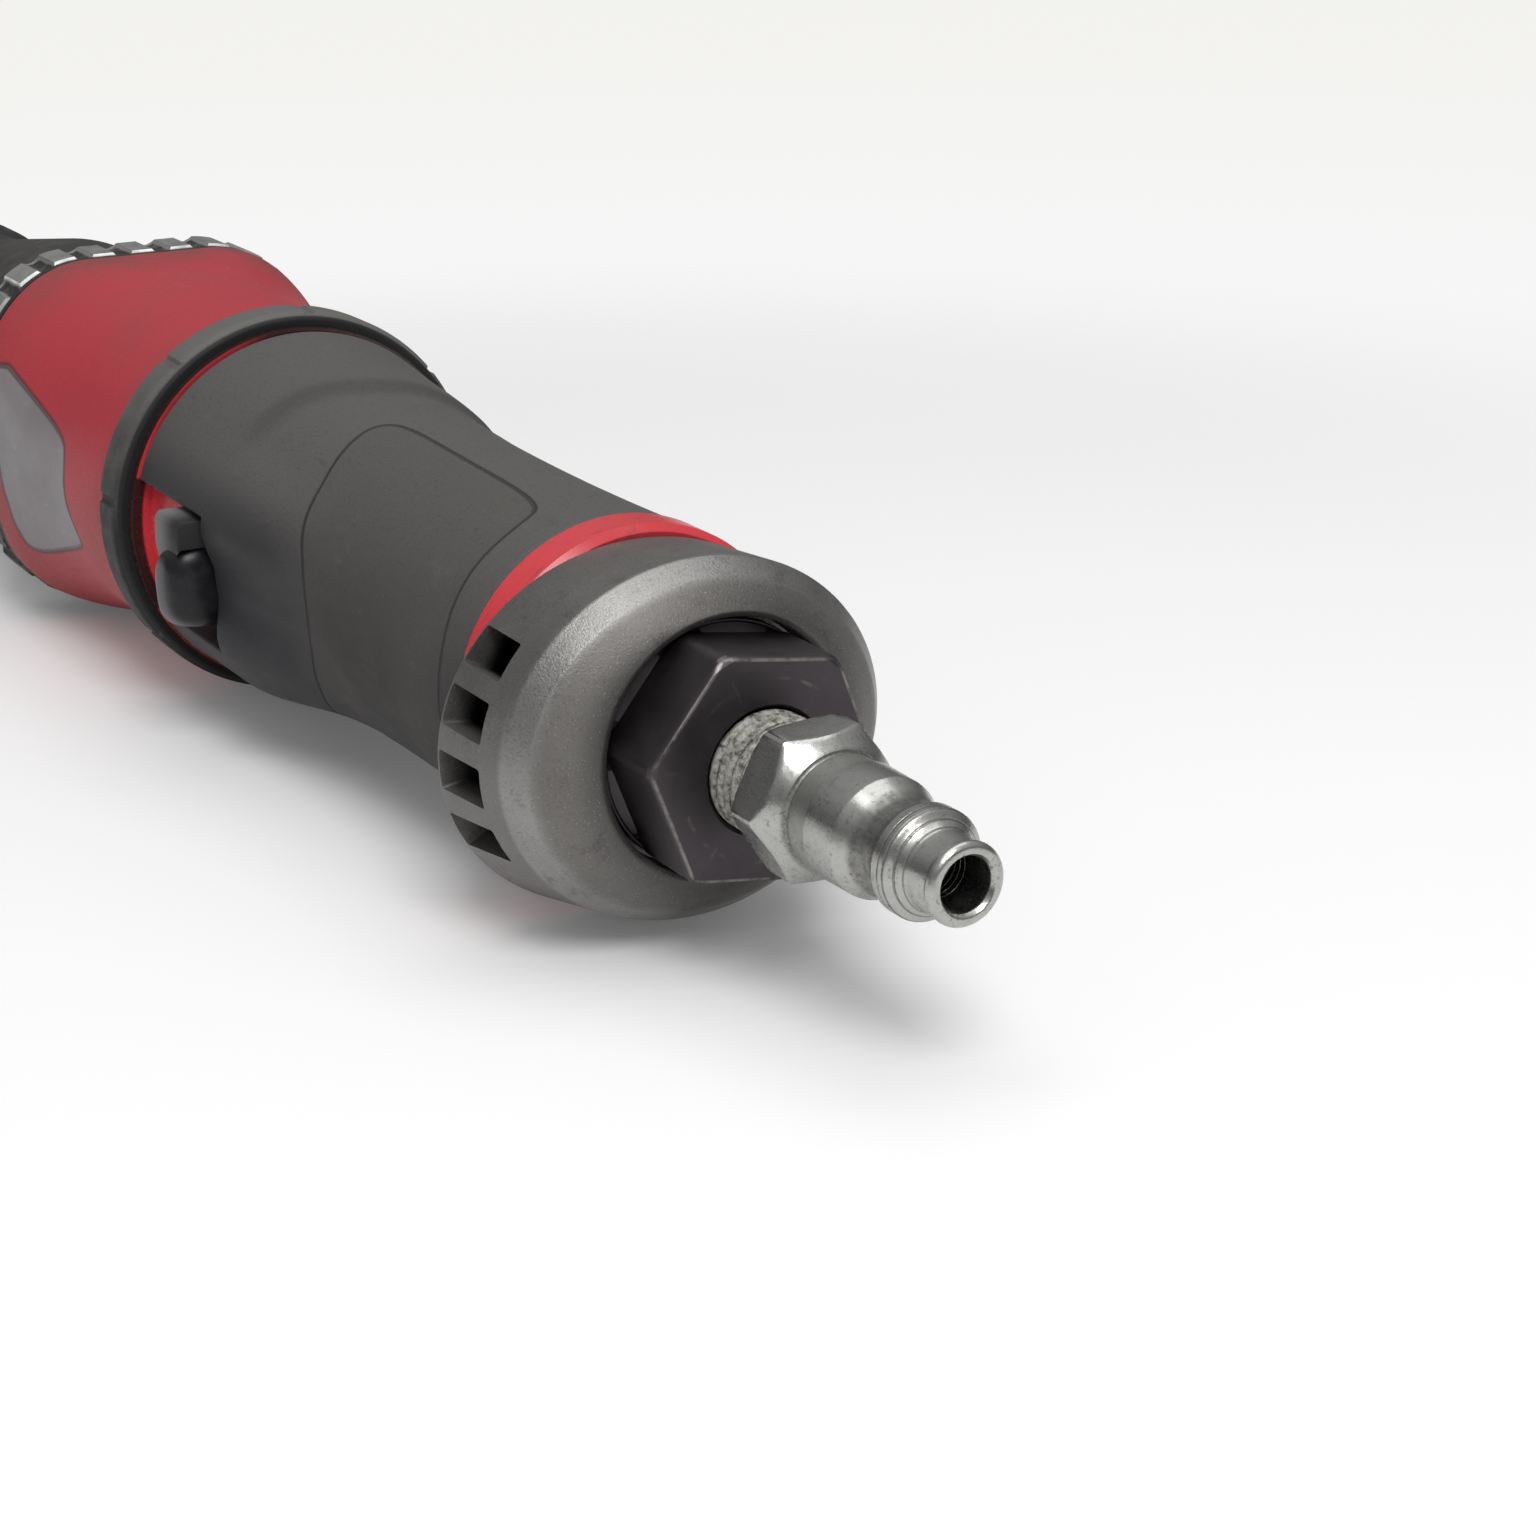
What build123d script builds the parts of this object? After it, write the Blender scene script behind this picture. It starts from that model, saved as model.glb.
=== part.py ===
from build123d import *
import math
import os

# Straight air impact wrench in millimetres.
# The tool's axis is X, the square drive points to +X and the origin is on the axis at the drive's shoulder.
# The trigger and the exhaust slots face +Y, and +Z is up.

# Clearances
seat_gap = 0.05
running_gap = 0.06
motion_gap = 0.3
face_gap = 0.15

# Square drive, socket ring and anvil
drive_square = 12.7
drive_length = 15.0
drive_corner_radius = 8.6
drive_tip_chamfer = 1.2
socket_groove_start = 6.6
socket_groove_width = 2.8
socket_groove_radius = 4.5
socket_ring_radius = 6.8
socket_ring_wall = 0.9
socket_ring_slot = 2.0
socket_o_ring_wire = 0.55
anvil_radius = 8.95
anvil_neck_radius = 6.6
anvil_jaw_inset = 0.65
anvil_jaw_radius = anvil_radius - anvil_jaw_inset
anvil_jaw_width = 6.0
anvil_thrust_step = 2.55
anvil_thrust_radius = anvil_radius + anvil_thrust_step
anvil_thrust_length = 5.0

# Hammer cage, hammers and pins
cage_rear_disc = 7.0
cage_front_disc = 8.0
hammer_length = 10.7
hammer_gap = 0.2
cage_clearance = 0.5
hammer_pin_radius = 3.0
cage_pin_wall = 1.35
hammer_pin_circle = anvil_radius + motion_gap + cage_pin_wall + hammer_pin_radius
cage_pin_edge = 1.1
cage_radius = hammer_pin_circle + hammer_pin_radius + cage_pin_edge
hammer_swing = 4.0
cage_web = 3.7
cage_web_gap = 2.0
hammer_inset = 2.7
hammer_radius = cage_radius - hammer_inset
hammer_width = 2 * (cage_radius - cage_web - cage_web_gap)
hammer_jaw_gap = 1.3
hammer_opening_radius = anvil_jaw_radius + hammer_jaw_gap

# Hammer case, nose and boot
boot_setback = 5.0
boot_lip = 3.0
boot_rim_wall = 2.8
boot_rim_length = 9.0
boot_sleeve_wall = 1.6
boot_length = 26.0
nose_length = 24.0
nose_bush_wall = 1.99
nose_bush_radius = anvil_radius + running_gap + nose_bush_wall
nose_wall = 2.5
nose_radius = nose_bush_radius + nose_wall
boot_rim_radius = nose_radius + boot_rim_wall
taper_length = 29.9
taper_step = 3.0
taper_end_radius = nose_radius + taper_step
barrel_length = 34.3
barrel_wall = 3.0
barrel_radius = cage_radius + cage_clearance + barrel_wall
case_flange_length = 1.8
case_flange_step = 1.5
case_flange_radius = barrel_radius + case_flange_step
case_spigot_length = 2.0
nose_bush_length = 27.0
nose_seal_length = 2.4

# Case clamp, a rounded square ring with scalloped sides, and its seal
housing_spigot_step = 0.1
housing_spigot_radius = case_flange_radius + housing_spigot_step
clamp_wall = 2.6
clamp_half_width = housing_spigot_radius + clamp_wall
clamp_corner_share = 0.65
clamp_corner = clamp_corner_share * clamp_half_width
clamp_lip = 2.5
clamp_scallop_count = 30
clamp_scallop_radius = 1.7
clamp_scallop_depth = 0.8
clamp_edge = 0.6
seal_thickness = 1.2
seal_inset = 0.3

# Motor housing
motor_body_length = 46.1
motor_front_inset = 0.2
motor_half_width = clamp_half_width - motor_front_inset
motor_corner = clamp_corner - motor_front_inset
motor_flare = 4.2
motor_front_radius = motor_half_width + motor_flare
motor_bore_radius = 21.0
motor_wall = 3.2
motor_waist_radius = motor_bore_radius + motor_wall
motor_flare_start = 17.3
motor_rear_wall = 6.0
motor_air_hole_radius = 9.0
housing_spigot_length = 5.0

# Vane motor
end_plate_length = 6.9
cylinder_bore_radius = 15.4
cylinder_eccentricity = 1.4
rotor_radius = 13.6
rotor_end_gap = 0.2
vane_count = 6
vane_thickness = 2.0
vane_depth = 5.4
vane_proud = 0.15
vane_slot_gap = 0.1
rear_bearing_radius = 8.0
rear_shaft_radius = 5.0
front_bearing_radius = 10.0
front_shaft_radius = 7.0
bearing_length = 5.0
bearing_groove = 0.6
rotor_hex = 10.0
plate_port_radius = 2.0
plate_port_circle = 14.6
dowel_radius = 1.5
dowel_circle = 18.3

# Reverse ring and valve
ring_width = 6.4
spigot_radius = 21.5
ring_wall = 3.7
ring_radius = spigot_radius + ring_wall
ring_pad_rise = 0.5
ring_pad_count = 8
ring_pad_angle = 42.0
ring_pad_first = 75.0
ring_edge = 0.5
reverse_swing = 20.0
reverse_valve_radius = 10.4
reverse_valve_length = 7.0
reverse_pin_radius = 1.5
reverse_pin_reach = 2.6
reverse_port_radius = 2.4
reverse_port_circle = 6.0
detent_ball_radius = 1.2
detent_rise = 0.4
detent_depth = 6.0
detent_wire = 0.25
detent_coils = 4

# Handle, grip and rear band
handle_collar_length = 1.6
handle_collar_step = 2.3
handle_collar_radius = spigot_radius + handle_collar_step
grip_length = 85.9
grip_wall = 2.0
grip_front_inset = 0.3
grip_front_radius = handle_collar_radius - grip_front_inset
grip_rear_radius = 19.0
grip_waist_radius = 18.7
grip_shoulder_length = 44.1
grip_shoulder_mid = 24.1
grip_shoulder_mid_radius = 20.6
guard_rise = 14.0
guard_length = 26.0
guard_half_width = 15.5
guard_height = 9.8
guard_drop = 3.0
band_length = 6.3
band_radius = 19.3
band_edge = 0.8
boss_length = 11.5
boss_radius = 12.3
inlet_radius = 6.0
channel_radius = 1.4
channel_circle = 14.3
channel_angles = (70.0, 90.0, 110.0, 250.0, 270.0, 290.0)
screw_circle = 16.5
screw_radius = 2.0
screw_head_radius = 3.5
screw_head_height = 4.0
screw_socket = 3.0
screw_grip = 12.0

# Trigger and throttle
trigger_setback = 16.8
trigger_length = 9.0
trigger_nose = 25.7
trigger_nose_drop = 4.0
trigger_top = 6.0
trigger_bottom = 9.0
trigger_brow = 23.4
trigger_chin = 22.0
trigger_inner = 13.3
trigger_travel = 4.5
trigger_edge = 1.0
pocket_floor = 8.5
trigger_pin_radius = 1.25
trigger_pin_drop = 4.6
trigger_pin_anchor = 3.0
pocket_headroom = 0.6
window_margin = 1.2
rod_radius = 1.5
rod_seat = 4.0
bush_radius = 2.6
bush_length = 5.0
outlet_radius = 4.2
outlet_length = 5.0
outlet_port_radius = 2.8
seat_radius = 5.5
seat_length = 2.0
seat_hole_radius = 2.6
valve_radius = 4.2
valve_thickness = 2.5
valve_stem_radius = 1.8
valve_stem_length = 4.6
inlet_port_radius = 3.2
inlet_port_offset = 8.0
plug_cap_length = 3.4
plug_cap_face = 14.4
plug_cap_slot = 1.2
stem_guide_depth = 2.6
throttle_wire = 0.3
throttle_coil_radius = 3.2
throttle_coils = 5

# Exhaust deflector, an oval cup that is wider to the sides and hangs lower at its open rear
deflector_side = 0.9
deflector_rear_drop = 2.4
deflector_front_drop = 0.4
deflector_rear_half_width = 23.5
deflector_rear_half_height = 20.5
deflector_front_half_width = 22.5
deflector_front_half_height = 19.8
deflector_bevel_start = 13.3
deflector_bevel_length = 2.4
deflector_bevel_inset = 1.8
deflector_face_length = 2.7
deflector_mouth_wall = 0.5
deflector_wall = 2.2
deflector_lip = 2.7
exhaust_slot_count = 4
exhaust_slot_pitch = 17.0
exhaust_slot_first = 26.5
exhaust_slot_width = 4.4
exhaust_slot_depth = 8.7
exhaust_slot_rim = 0.5
silencer_wall = 2.6
silencer_length = 8.0

# Inlet bushing, screen and plug
bushing_flange = 2.0
bushing_flange_radius = 13.4
bushing_recess_gap = 0.55
bushing_hex = 23.8
bushing_hex_length = 9.7
bushing_hex_turn = 9.0
bushing_hex_chamfer = 0.6
bushing_journal_radius = 10.8
bushing_thread_radius = 9.4
bushing_thread_length = 11.0
screen_radius = 7.2
screen_thickness = 1.0
screen_hole_radius = 1.1
screen_hole_circle = 4.4
screen_hole_count = 6
o_ring_wire = 1.0
plug_length = 35.7
plug_bore = 2.8
plug_nose_radius = 4.1
plug_nose_length = 4.5
plug_collar_radius = 5.8
plug_collar_length = 2.1
plug_groove_radius = 4.9
plug_groove_length = 2.0
plug_cone = 1.3
plug_shoulder_rise = 2.6
plug_shoulder_radius = 6.3
plug_shoulder_length = 5.0
plug_neck_radius = 6.1
plug_neck_length = 3.5
plug_hex = 15.0
plug_hex_length = 6.7
plug_hex_turn = -3.0
plug_hex_cone = 2.4
plug_hex_chamfer = 0.6
plug_thread_radius = 6.5
plug_thread_length = 9.0
plug_edge = 0.4

# Stations along the axis, from the drive's shoulder back to the plug's tip
boot_front_x = -boot_setback
case_front_x = boot_front_x - boot_lip
nose_rear_x = case_front_x - nose_length
taper_rear_x = nose_rear_x - taper_length
case_rear_x = taper_rear_x - barrel_length
clamp_front_x = case_rear_x + case_flange_length + clamp_lip
housing_shoulder_x = case_rear_x - housing_spigot_length
clamp_rear_x = housing_shoulder_x + seal_thickness
housing_rear_x = housing_shoulder_x - motor_body_length
motor_floor_x = housing_rear_x + motor_rear_wall
plate_front_x = case_rear_x - case_spigot_length
cylinder_front_x = plate_front_x - end_plate_length
rear_plate_x = motor_floor_x + seat_gap
cylinder_rear_x = rear_plate_x + end_plate_length
ring_front_x = housing_rear_x - motion_gap
ring_rear_x = ring_front_x - ring_width
collar_front_x = ring_rear_x - motion_gap
grip_front_x = collar_front_x - handle_collar_length
grip_rear_x = grip_front_x - grip_length
band_rear_x = grip_rear_x - band_length
boss_rear_x = band_rear_x - boss_length
deflector_rear_x = band_rear_x - face_gap
lip_rear_x = boss_rear_x - face_gap
lip_front_x = lip_rear_x - deflector_lip
flange_rear_x = lip_front_x - face_gap
flange_front_x = flange_rear_x - bushing_flange
bushing_front_x = flange_front_x - bushing_hex_length
plug_tip_x = bushing_front_x - plug_length
trigger_x = grip_front_x - trigger_setback
ring_mid_x = (ring_front_x + ring_rear_x) / 2


def turned(*points):
    """Solid of revolution about the tool axis, from points of (x, radius)."""
    return revolve(make_face(Polyline(*points, close=True)), axis=Axis.X)


def rod(start_x, end_x, radius):
    """Round bar along the tool axis."""
    return Pos(start_x, 0, 0) * Rot(0, 90, 0) * Cylinder(
        radius, end_x - start_x, align=(Align.CENTER, Align.CENTER, Align.MIN))


def tube(start_x, end_x, outer, inner):
    """Round tube along the tool axis."""
    return rod(start_x, end_x, outer) - rod(start_x, end_x, inner)


def hex_bar(start_x, end_x, across_flats, turn=0.0):
    """Hexagon bar along the tool axis."""
    outline = RegularPolygon(across_flats / 2, 6, major_radius=False, rotation=turn)
    return extrude(Plane.YZ.offset(start_x) * outline, end_x - start_x)


def square_bar(start_x, end_x, half_width, corner):
    """Bar along the tool axis with a rounded square section."""
    outline = RectangleRounded(2 * half_width, 2 * half_width, corner)
    return extrude(Plane.YZ.offset(start_x) * outline, end_x - start_x)


def cross_rod(x, start_y, end_y, radius, z=0.0):
    """Round bar along Y, through the tool at station x."""
    return Pos(x, start_y, z) * Rot(-90, 0, 0) * Cylinder(
        radius, end_y - start_y, align=(Align.CENTER, Align.CENTER, Align.MIN))


def block(low, high):
    """Box between two corners."""
    size = [high[i] - low[i] for i in range(3)]
    return Pos(*low) * Box(*size, align=(Align.MIN, Align.MIN, Align.MIN))


def around(shape, angles):
    """Copies of a shape turned about the tool axis. 0 degrees is +Y and 90 degrees is +Z."""
    return [Rot(angle, 0, 0) * shape for angle in angles]


def off_axis(shape, radius):
    """Shape moved out from the tool axis along +Y."""
    return Pos(0, radius, 0) * shape


def cut_all(shape, tools):
    """Shape less every tool in a list."""
    for tool in tools:
        shape = shape - tool
    return shape


def spring(start, end, coil_radius, wire, coils):
    """Coil spring between two points on its axis, with the wire's centre line kept inside both ends."""
    axis = Vector(*end) - Vector(*start)
    length = axis.length - 2 * wire
    path = Helix(pitch=length / coils, height=length, radius=coil_radius)
    section = Plane(origin=path @ 0, z_dir=path % 0) * Circle(wire)
    coil = sweep(section, path=path)
    seat = Vector(*start) + axis.normalized() * wire
    return Plane(origin=seat, z_dir=axis) * coil


# Grip outline: a slim rear part, then a shoulder that swells to the front
def grip_outline(inset):
    shoulder_x = grip_front_x - grip_shoulder_length
    mid_x = grip_front_x - grip_shoulder_mid
    rear = (grip_rear_x, grip_rear_radius - inset)
    waist = ((grip_rear_x + shoulder_x) / 2, grip_waist_radius - inset)
    shoulder = (shoulder_x, grip_rear_radius - inset)
    mid = (mid_x, grip_shoulder_mid_radius - inset)
    front = (grip_front_x, grip_front_radius - inset)
    slim = ThreePointArc(rear, waist, shoulder)
    hollow = TangentArc(shoulder, mid, tangent=slim % 1)
    swell = TangentArc(mid, front, tangent=hollow % 1)
    return [slim, hollow, swell]


def grip_solid(inset):
    """Solid inside the grip outline, from the rear of the grip to its front, with its seam at the bottom."""
    edges = grip_outline(inset)
    front = edges[-1] @ 1
    rear = edges[0] @ 0
    closing = Polyline((front.X, front.Y), (front.X, 0), (rear.X, 0), (rear.X, rear.Y))
    return Rot(-90, 0, 0) * revolve(make_face(edges + [closing]), axis=Axis.X)


# Anvil with its square drive
def make_anvil():
    rear_x = case_rear_x + cage_clearance + cage_rear_disc + hammer_gap
    jaw_end_x = rear_x + 2 * (hammer_length + hammer_gap)
    thrust_x = jaw_end_x + cage_front_disc + cage_clearance
    shaft = rod(rear_x, jaw_end_x, anvil_neck_radius)
    shaft += rod(jaw_end_x, 0, anvil_radius)
    shaft += rod(thrust_x, thrust_x + anvil_thrust_length, anvil_thrust_radius)
    half = anvil_jaw_width / 2
    jaw = block((rear_x, 0, -half), (rear_x + hammer_length, anvil_jaw_radius, half))
    jaw &= rod(rear_x, rear_x + hammer_length, anvil_jaw_radius)
    shaft += jaw
    shaft += Pos(hammer_length + hammer_gap, 0, 0) * Rot(180, 0, 0) * jaw
    drive_half = drive_square / 2
    square = block((0, -drive_half, -drive_half), (drive_length, drive_half, drive_half))
    trim = turned((0, 0), (0, drive_corner_radius), (drive_length - drive_tip_chamfer, drive_corner_radius),
                  (drive_length, drive_corner_radius - 2 * drive_tip_chamfer), (drive_length, 0))
    groove_end = socket_groove_start + socket_groove_width
    groove = tube(socket_groove_start, groove_end, anvil_radius + drive_square, socket_groove_radius)
    return shaft + (square & trim) - groove


def make_socket_ring():
    inner = socket_ring_radius - socket_ring_wall
    ring = tube(socket_groove_start + face_gap, socket_groove_start + socket_groove_width - face_gap,
                socket_ring_radius, inner)
    slot = block((0, inner / 2, -socket_ring_slot / 2), (drive_length, drive_square, socket_ring_slot / 2))
    return ring - slot


def make_socket_o_ring():
    centre_x = socket_groove_start + socket_groove_width / 2
    major = socket_groove_radius + socket_o_ring_wire + seat_gap
    return Pos(centre_x, 0, 0) * Rot(0, 90, 0) * Torus(major, socket_o_ring_wire)


# Hammer case with its nose parts
def make_hammer_case():
    bore = barrel_radius - barrel_wall
    nose_bore = nose_bush_radius + seat_gap
    neck_x = nose_rear_x - boot_lip
    outer = turned((plate_front_x, 0), (plate_front_x, motor_bore_radius - seat_gap),
                   (case_rear_x, motor_bore_radius - seat_gap), (case_rear_x, case_flange_radius),
                   (case_rear_x + case_flange_length, case_flange_radius),
                   (case_rear_x + case_flange_length, barrel_radius), (taper_rear_x, barrel_radius),
                   (nose_rear_x, taper_end_radius), (nose_rear_x, nose_radius), (case_front_x, nose_radius),
                   (case_front_x, 0))
    hollow = turned((plate_front_x, 0), (plate_front_x, bore), (taper_rear_x + barrel_wall, bore),
                    (neck_x, nose_bore), (case_front_x, nose_bore), (case_front_x, 0))
    return outer - hollow


def make_nose_bushing():
    end_x = case_front_x - nose_seal_length
    return tube(end_x - nose_bush_length, end_x, nose_bush_radius, anvil_radius + running_gap)


def make_nose_seal():
    start_x = case_front_x - nose_seal_length + face_gap
    return tube(start_x, case_front_x - face_gap, nose_bush_radius, anvil_radius + running_gap)


def make_nose_boot():
    inner = nose_radius + seat_gap
    sleeve = inner + boot_sleeve_wall
    rear_x = boot_front_x - boot_length
    rim_x = boot_front_x - boot_rim_length
    mouth = anvil_radius + 2 * motion_gap
    outer = turned((rear_x, 0), (rear_x, sleeve), (rim_x, sleeve),
                   (rim_x + boot_sleeve_wall, boot_rim_radius),
                   (boot_front_x - boot_sleeve_wall, boot_rim_radius),
                   (boot_front_x, boot_rim_radius - boot_sleeve_wall), (boot_front_x, 0))
    return outer - rod(rear_x, case_front_x, inner) - rod(case_front_x, boot_front_x, mouth)


# Hammer cage, hammers and pins
def cage_stations():
    rear_x = case_rear_x + cage_clearance
    space_x = rear_x + cage_rear_disc
    disc_x = space_x + 2 * hammer_length + 3 * hammer_gap
    return rear_x, space_x, disc_x, disc_x + cage_front_disc


def make_hammer_cage():
    rear_x, space_x, disc_x, front_x = cage_stations()
    cage = rod(rear_x, front_x, cage_radius)
    half = hammer_width / 2 + cage_web_gap
    cage -= block((space_x, -half, -cage_radius), (disc_x, half, cage_radius))
    cage -= hex_bar(rear_x, space_x, rotor_hex + 2 * seat_gap)
    cage -= rod(disc_x, front_x, anvil_radius + motion_gap)
    pin_hole = rod(rear_x + cage_clearance, front_x, hammer_pin_radius + seat_gap)
    return cut_all(cage, around(off_axis(pin_hole, hammer_pin_circle), (90, 270)))


def make_hammer(start_x, pivot_angle):
    """Hammer block with a pivot groove at pivot_angle and a wide groove opposite."""
    body = rod(start_x, start_x + hammer_length, hammer_radius)
    half = hammer_width / 2
    body &= block((start_x, -half, -hammer_radius), (start_x + hammer_length, half, hammer_radius))
    body -= rod(start_x, start_x + hammer_length, hammer_opening_radius)
    groove = rod(start_x, start_x + hammer_length, hammer_pin_radius + running_gap)
    swing = 2 * hammer_pin_circle * math.tan(math.radians(hammer_swing)) + motion_gap
    wide = hammer_pin_radius + swing
    reach = hammer_pin_circle - hammer_pin_radius - motion_gap
    slack = block((start_x, reach, -wide), (start_x + hammer_length, hammer_radius, wide))
    body = cut_all(body, around(off_axis(groove, hammer_pin_circle), (pivot_angle,)))
    return cut_all(body, around(slack, (pivot_angle + 180,)))


def make_hammer_pins():
    rear_x, space_x, disc_x, front_x = cage_stations()
    pin = rod(rear_x + cage_clearance, front_x - face_gap, hammer_pin_radius)
    return around(off_axis(pin, hammer_pin_circle), (90, 270))


# Case clamp and seal
def clamp_scallops():
    """Round cuts, evenly spaced along the clamp's rounded square outline."""
    straight = 2 * (clamp_half_width - clamp_corner)
    side = straight + math.pi / 2 * clamp_corner
    cut = rod(clamp_rear_x, clamp_front_x, clamp_scallop_radius)
    reach = clamp_scallop_radius - clamp_scallop_depth
    cuts = []
    for index in range(clamp_scallop_count):
        sides, left = divmod((index + 0.5) * 4 * side / clamp_scallop_count, side)
        turn = max(left - straight, 0) / clamp_corner
        y = straight / 2 + (clamp_corner + reach) * math.cos(turn)
        z = min(left, straight) - straight / 2 + (clamp_corner + reach) * math.sin(turn)
        cuts += around(Pos(0, y, z) * cut, (90 * sides,))
    return cuts


def make_case_clamp():
    lip_x = case_rear_x + case_flange_length
    clamp = square_bar(clamp_rear_x, clamp_front_x, clamp_half_width, clamp_corner)
    ends = clamp.faces().sort_by(Axis.X)
    clamp = chamfer(ends[0].edges() + ends[-1].edges(), clamp_edge)
    clamp -= rod(clamp_rear_x, lip_x, housing_spigot_radius + seat_gap)
    clamp -= rod(lip_x, clamp_front_x, barrel_radius + seat_gap)
    return cut_all(clamp, clamp_scallops())


def make_clamp_seal():
    seal = square_bar(housing_shoulder_x, clamp_rear_x, clamp_half_width - seal_inset,
                      clamp_corner - seal_inset)
    return seal - rod(housing_shoulder_x, clamp_rear_x, housing_spigot_radius + seat_gap)


# Motor housing
def make_motor_housing():
    flare_x = housing_rear_x + motor_flare_start
    waist = Line((housing_rear_x, motor_waist_radius), (flare_x, motor_waist_radius))
    flare = TangentArc((flare_x, motor_waist_radius), (housing_shoulder_x, motor_front_radius),
                       tangent=(1, 0))
    closing = Polyline((housing_shoulder_x, motor_front_radius), (housing_shoulder_x, housing_spigot_radius),
                       (case_rear_x, housing_spigot_radius), (case_rear_x, 0), (housing_rear_x, 0),
                       (housing_rear_x, motor_waist_radius))
    shell = revolve(make_face([waist, flare, closing]), axis=Axis.X)
    shell &= square_bar(housing_rear_x, case_rear_x, motor_half_width, motor_corner)
    shell -= rod(motor_floor_x, case_rear_x, motor_bore_radius)
    shell -= rod(housing_rear_x, motor_floor_x, motor_air_hole_radius)
    hole = rod(housing_rear_x, motor_floor_x, screw_radius + face_gap)
    hole += rod(motor_floor_x - screw_head_height, motor_floor_x, screw_head_radius + face_gap)
    shell = cut_all(shell, around(off_axis(hole, screw_circle), screw_angles()))
    channel = rod(housing_rear_x, motor_floor_x, channel_radius)
    return cut_all(shell, around(off_axis(channel, channel_circle), channel_angles))


def screw_angles():
    return (45, 135, 225, 315)


def make_handle_screws():
    seat_x = motor_floor_x - screw_head_height
    screw = rod(housing_rear_x - screw_grip, seat_x, screw_radius)
    screw += rod(seat_x, motor_floor_x - seat_gap, screw_head_radius)
    screw -= hex_bar(motor_floor_x - screw_socket, motor_floor_x, screw_socket)
    return around(off_axis(screw, screw_circle), screw_angles())


# Vane motor
def end_plate(start_x, bearing_radius, shaft_radius, pocket_start_x):
    plate = rod(start_x, start_x + end_plate_length, motor_bore_radius - seat_gap)
    plate -= rod(start_x, start_x + end_plate_length, shaft_radius + motion_gap)
    plate -= rod(pocket_start_x, pocket_start_x + bearing_length, bearing_radius + seat_gap)
    port = rod(start_x, start_x + end_plate_length, plate_port_radius)
    plate = cut_all(plate, around(off_axis(port, plate_port_circle), (30, 150, 210, 330)))
    dowel = rod(start_x, start_x + end_plate_length, dowel_radius + seat_gap)
    return cut_all(plate, around(off_axis(dowel, dowel_circle), (270,)))


def make_rear_end_plate():
    return end_plate(rear_plate_x, rear_bearing_radius, rear_shaft_radius, rear_plate_x)


def make_front_end_plate():
    pocket_x = plate_front_x - bearing_length
    return end_plate(cylinder_front_x, front_bearing_radius, front_shaft_radius, pocket_x)


def bearing(start_x, outer, shaft_radius):
    """Ball bearing as one ring, with a shield groove on both faces."""
    inner = shaft_radius + running_gap
    ring = tube(start_x, start_x + bearing_length, outer, inner)
    third = (outer - inner) / 3
    groove = tube(start_x, start_x + bearing_groove, outer - third, inner + third)
    ring -= groove
    return ring - Pos(bearing_length - bearing_groove, 0, 0) * groove


def make_rear_bearing():
    return bearing(rear_plate_x, rear_bearing_radius, rear_shaft_radius)


def make_front_bearing():
    return bearing(plate_front_x - bearing_length, front_bearing_radius, front_shaft_radius)


def make_motor_cylinder():
    sleeve = rod(cylinder_rear_x, cylinder_front_x, motor_bore_radius - seat_gap)
    sleeve -= Pos(0, 0, cylinder_eccentricity) * rod(cylinder_rear_x, cylinder_front_x, cylinder_bore_radius)
    dowel = rod(cylinder_rear_x, cylinder_front_x, dowel_radius + seat_gap)
    return cut_all(sleeve, around(off_axis(dowel, dowel_circle), (270,)))


def make_motor_dowel():
    pin = rod(rear_plate_x + face_gap, plate_front_x - face_gap, dowel_radius)
    return around(off_axis(pin, dowel_circle), (270,))[0]


def vane_angles():
    return [i * 360.0 / vane_count for i in range(vane_count)]


def make_rotor():
    rear_x = cylinder_rear_x + rotor_end_gap
    front_x = cylinder_front_x - rotor_end_gap
    cage_x, space_x, disc_x, end_x = cage_stations()
    rotor = rod(rear_x, front_x, rotor_radius)
    rotor += rod(rear_plate_x + face_gap, rear_x, rear_shaft_radius)
    rotor += rod(front_x, cage_x - face_gap, front_shaft_radius)
    rotor += hex_bar(cage_x - face_gap, space_x - face_gap, rotor_hex)
    half = vane_thickness / 2 + vane_slot_gap
    floor = rotor_radius - vane_depth - vane_slot_gap
    slot = block((rear_x, floor, -half), (front_x, rotor_radius + vane_depth, half))
    return cut_all(rotor, around(slot, vane_angles()))


def make_rotor_vanes():
    half = vane_thickness / 2
    vane = block((cylinder_rear_x + rotor_end_gap, rotor_radius - vane_depth, -half),
                 (cylinder_front_x - rotor_end_gap, rotor_radius + vane_proud, half))
    return around(vane, vane_angles())


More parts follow.
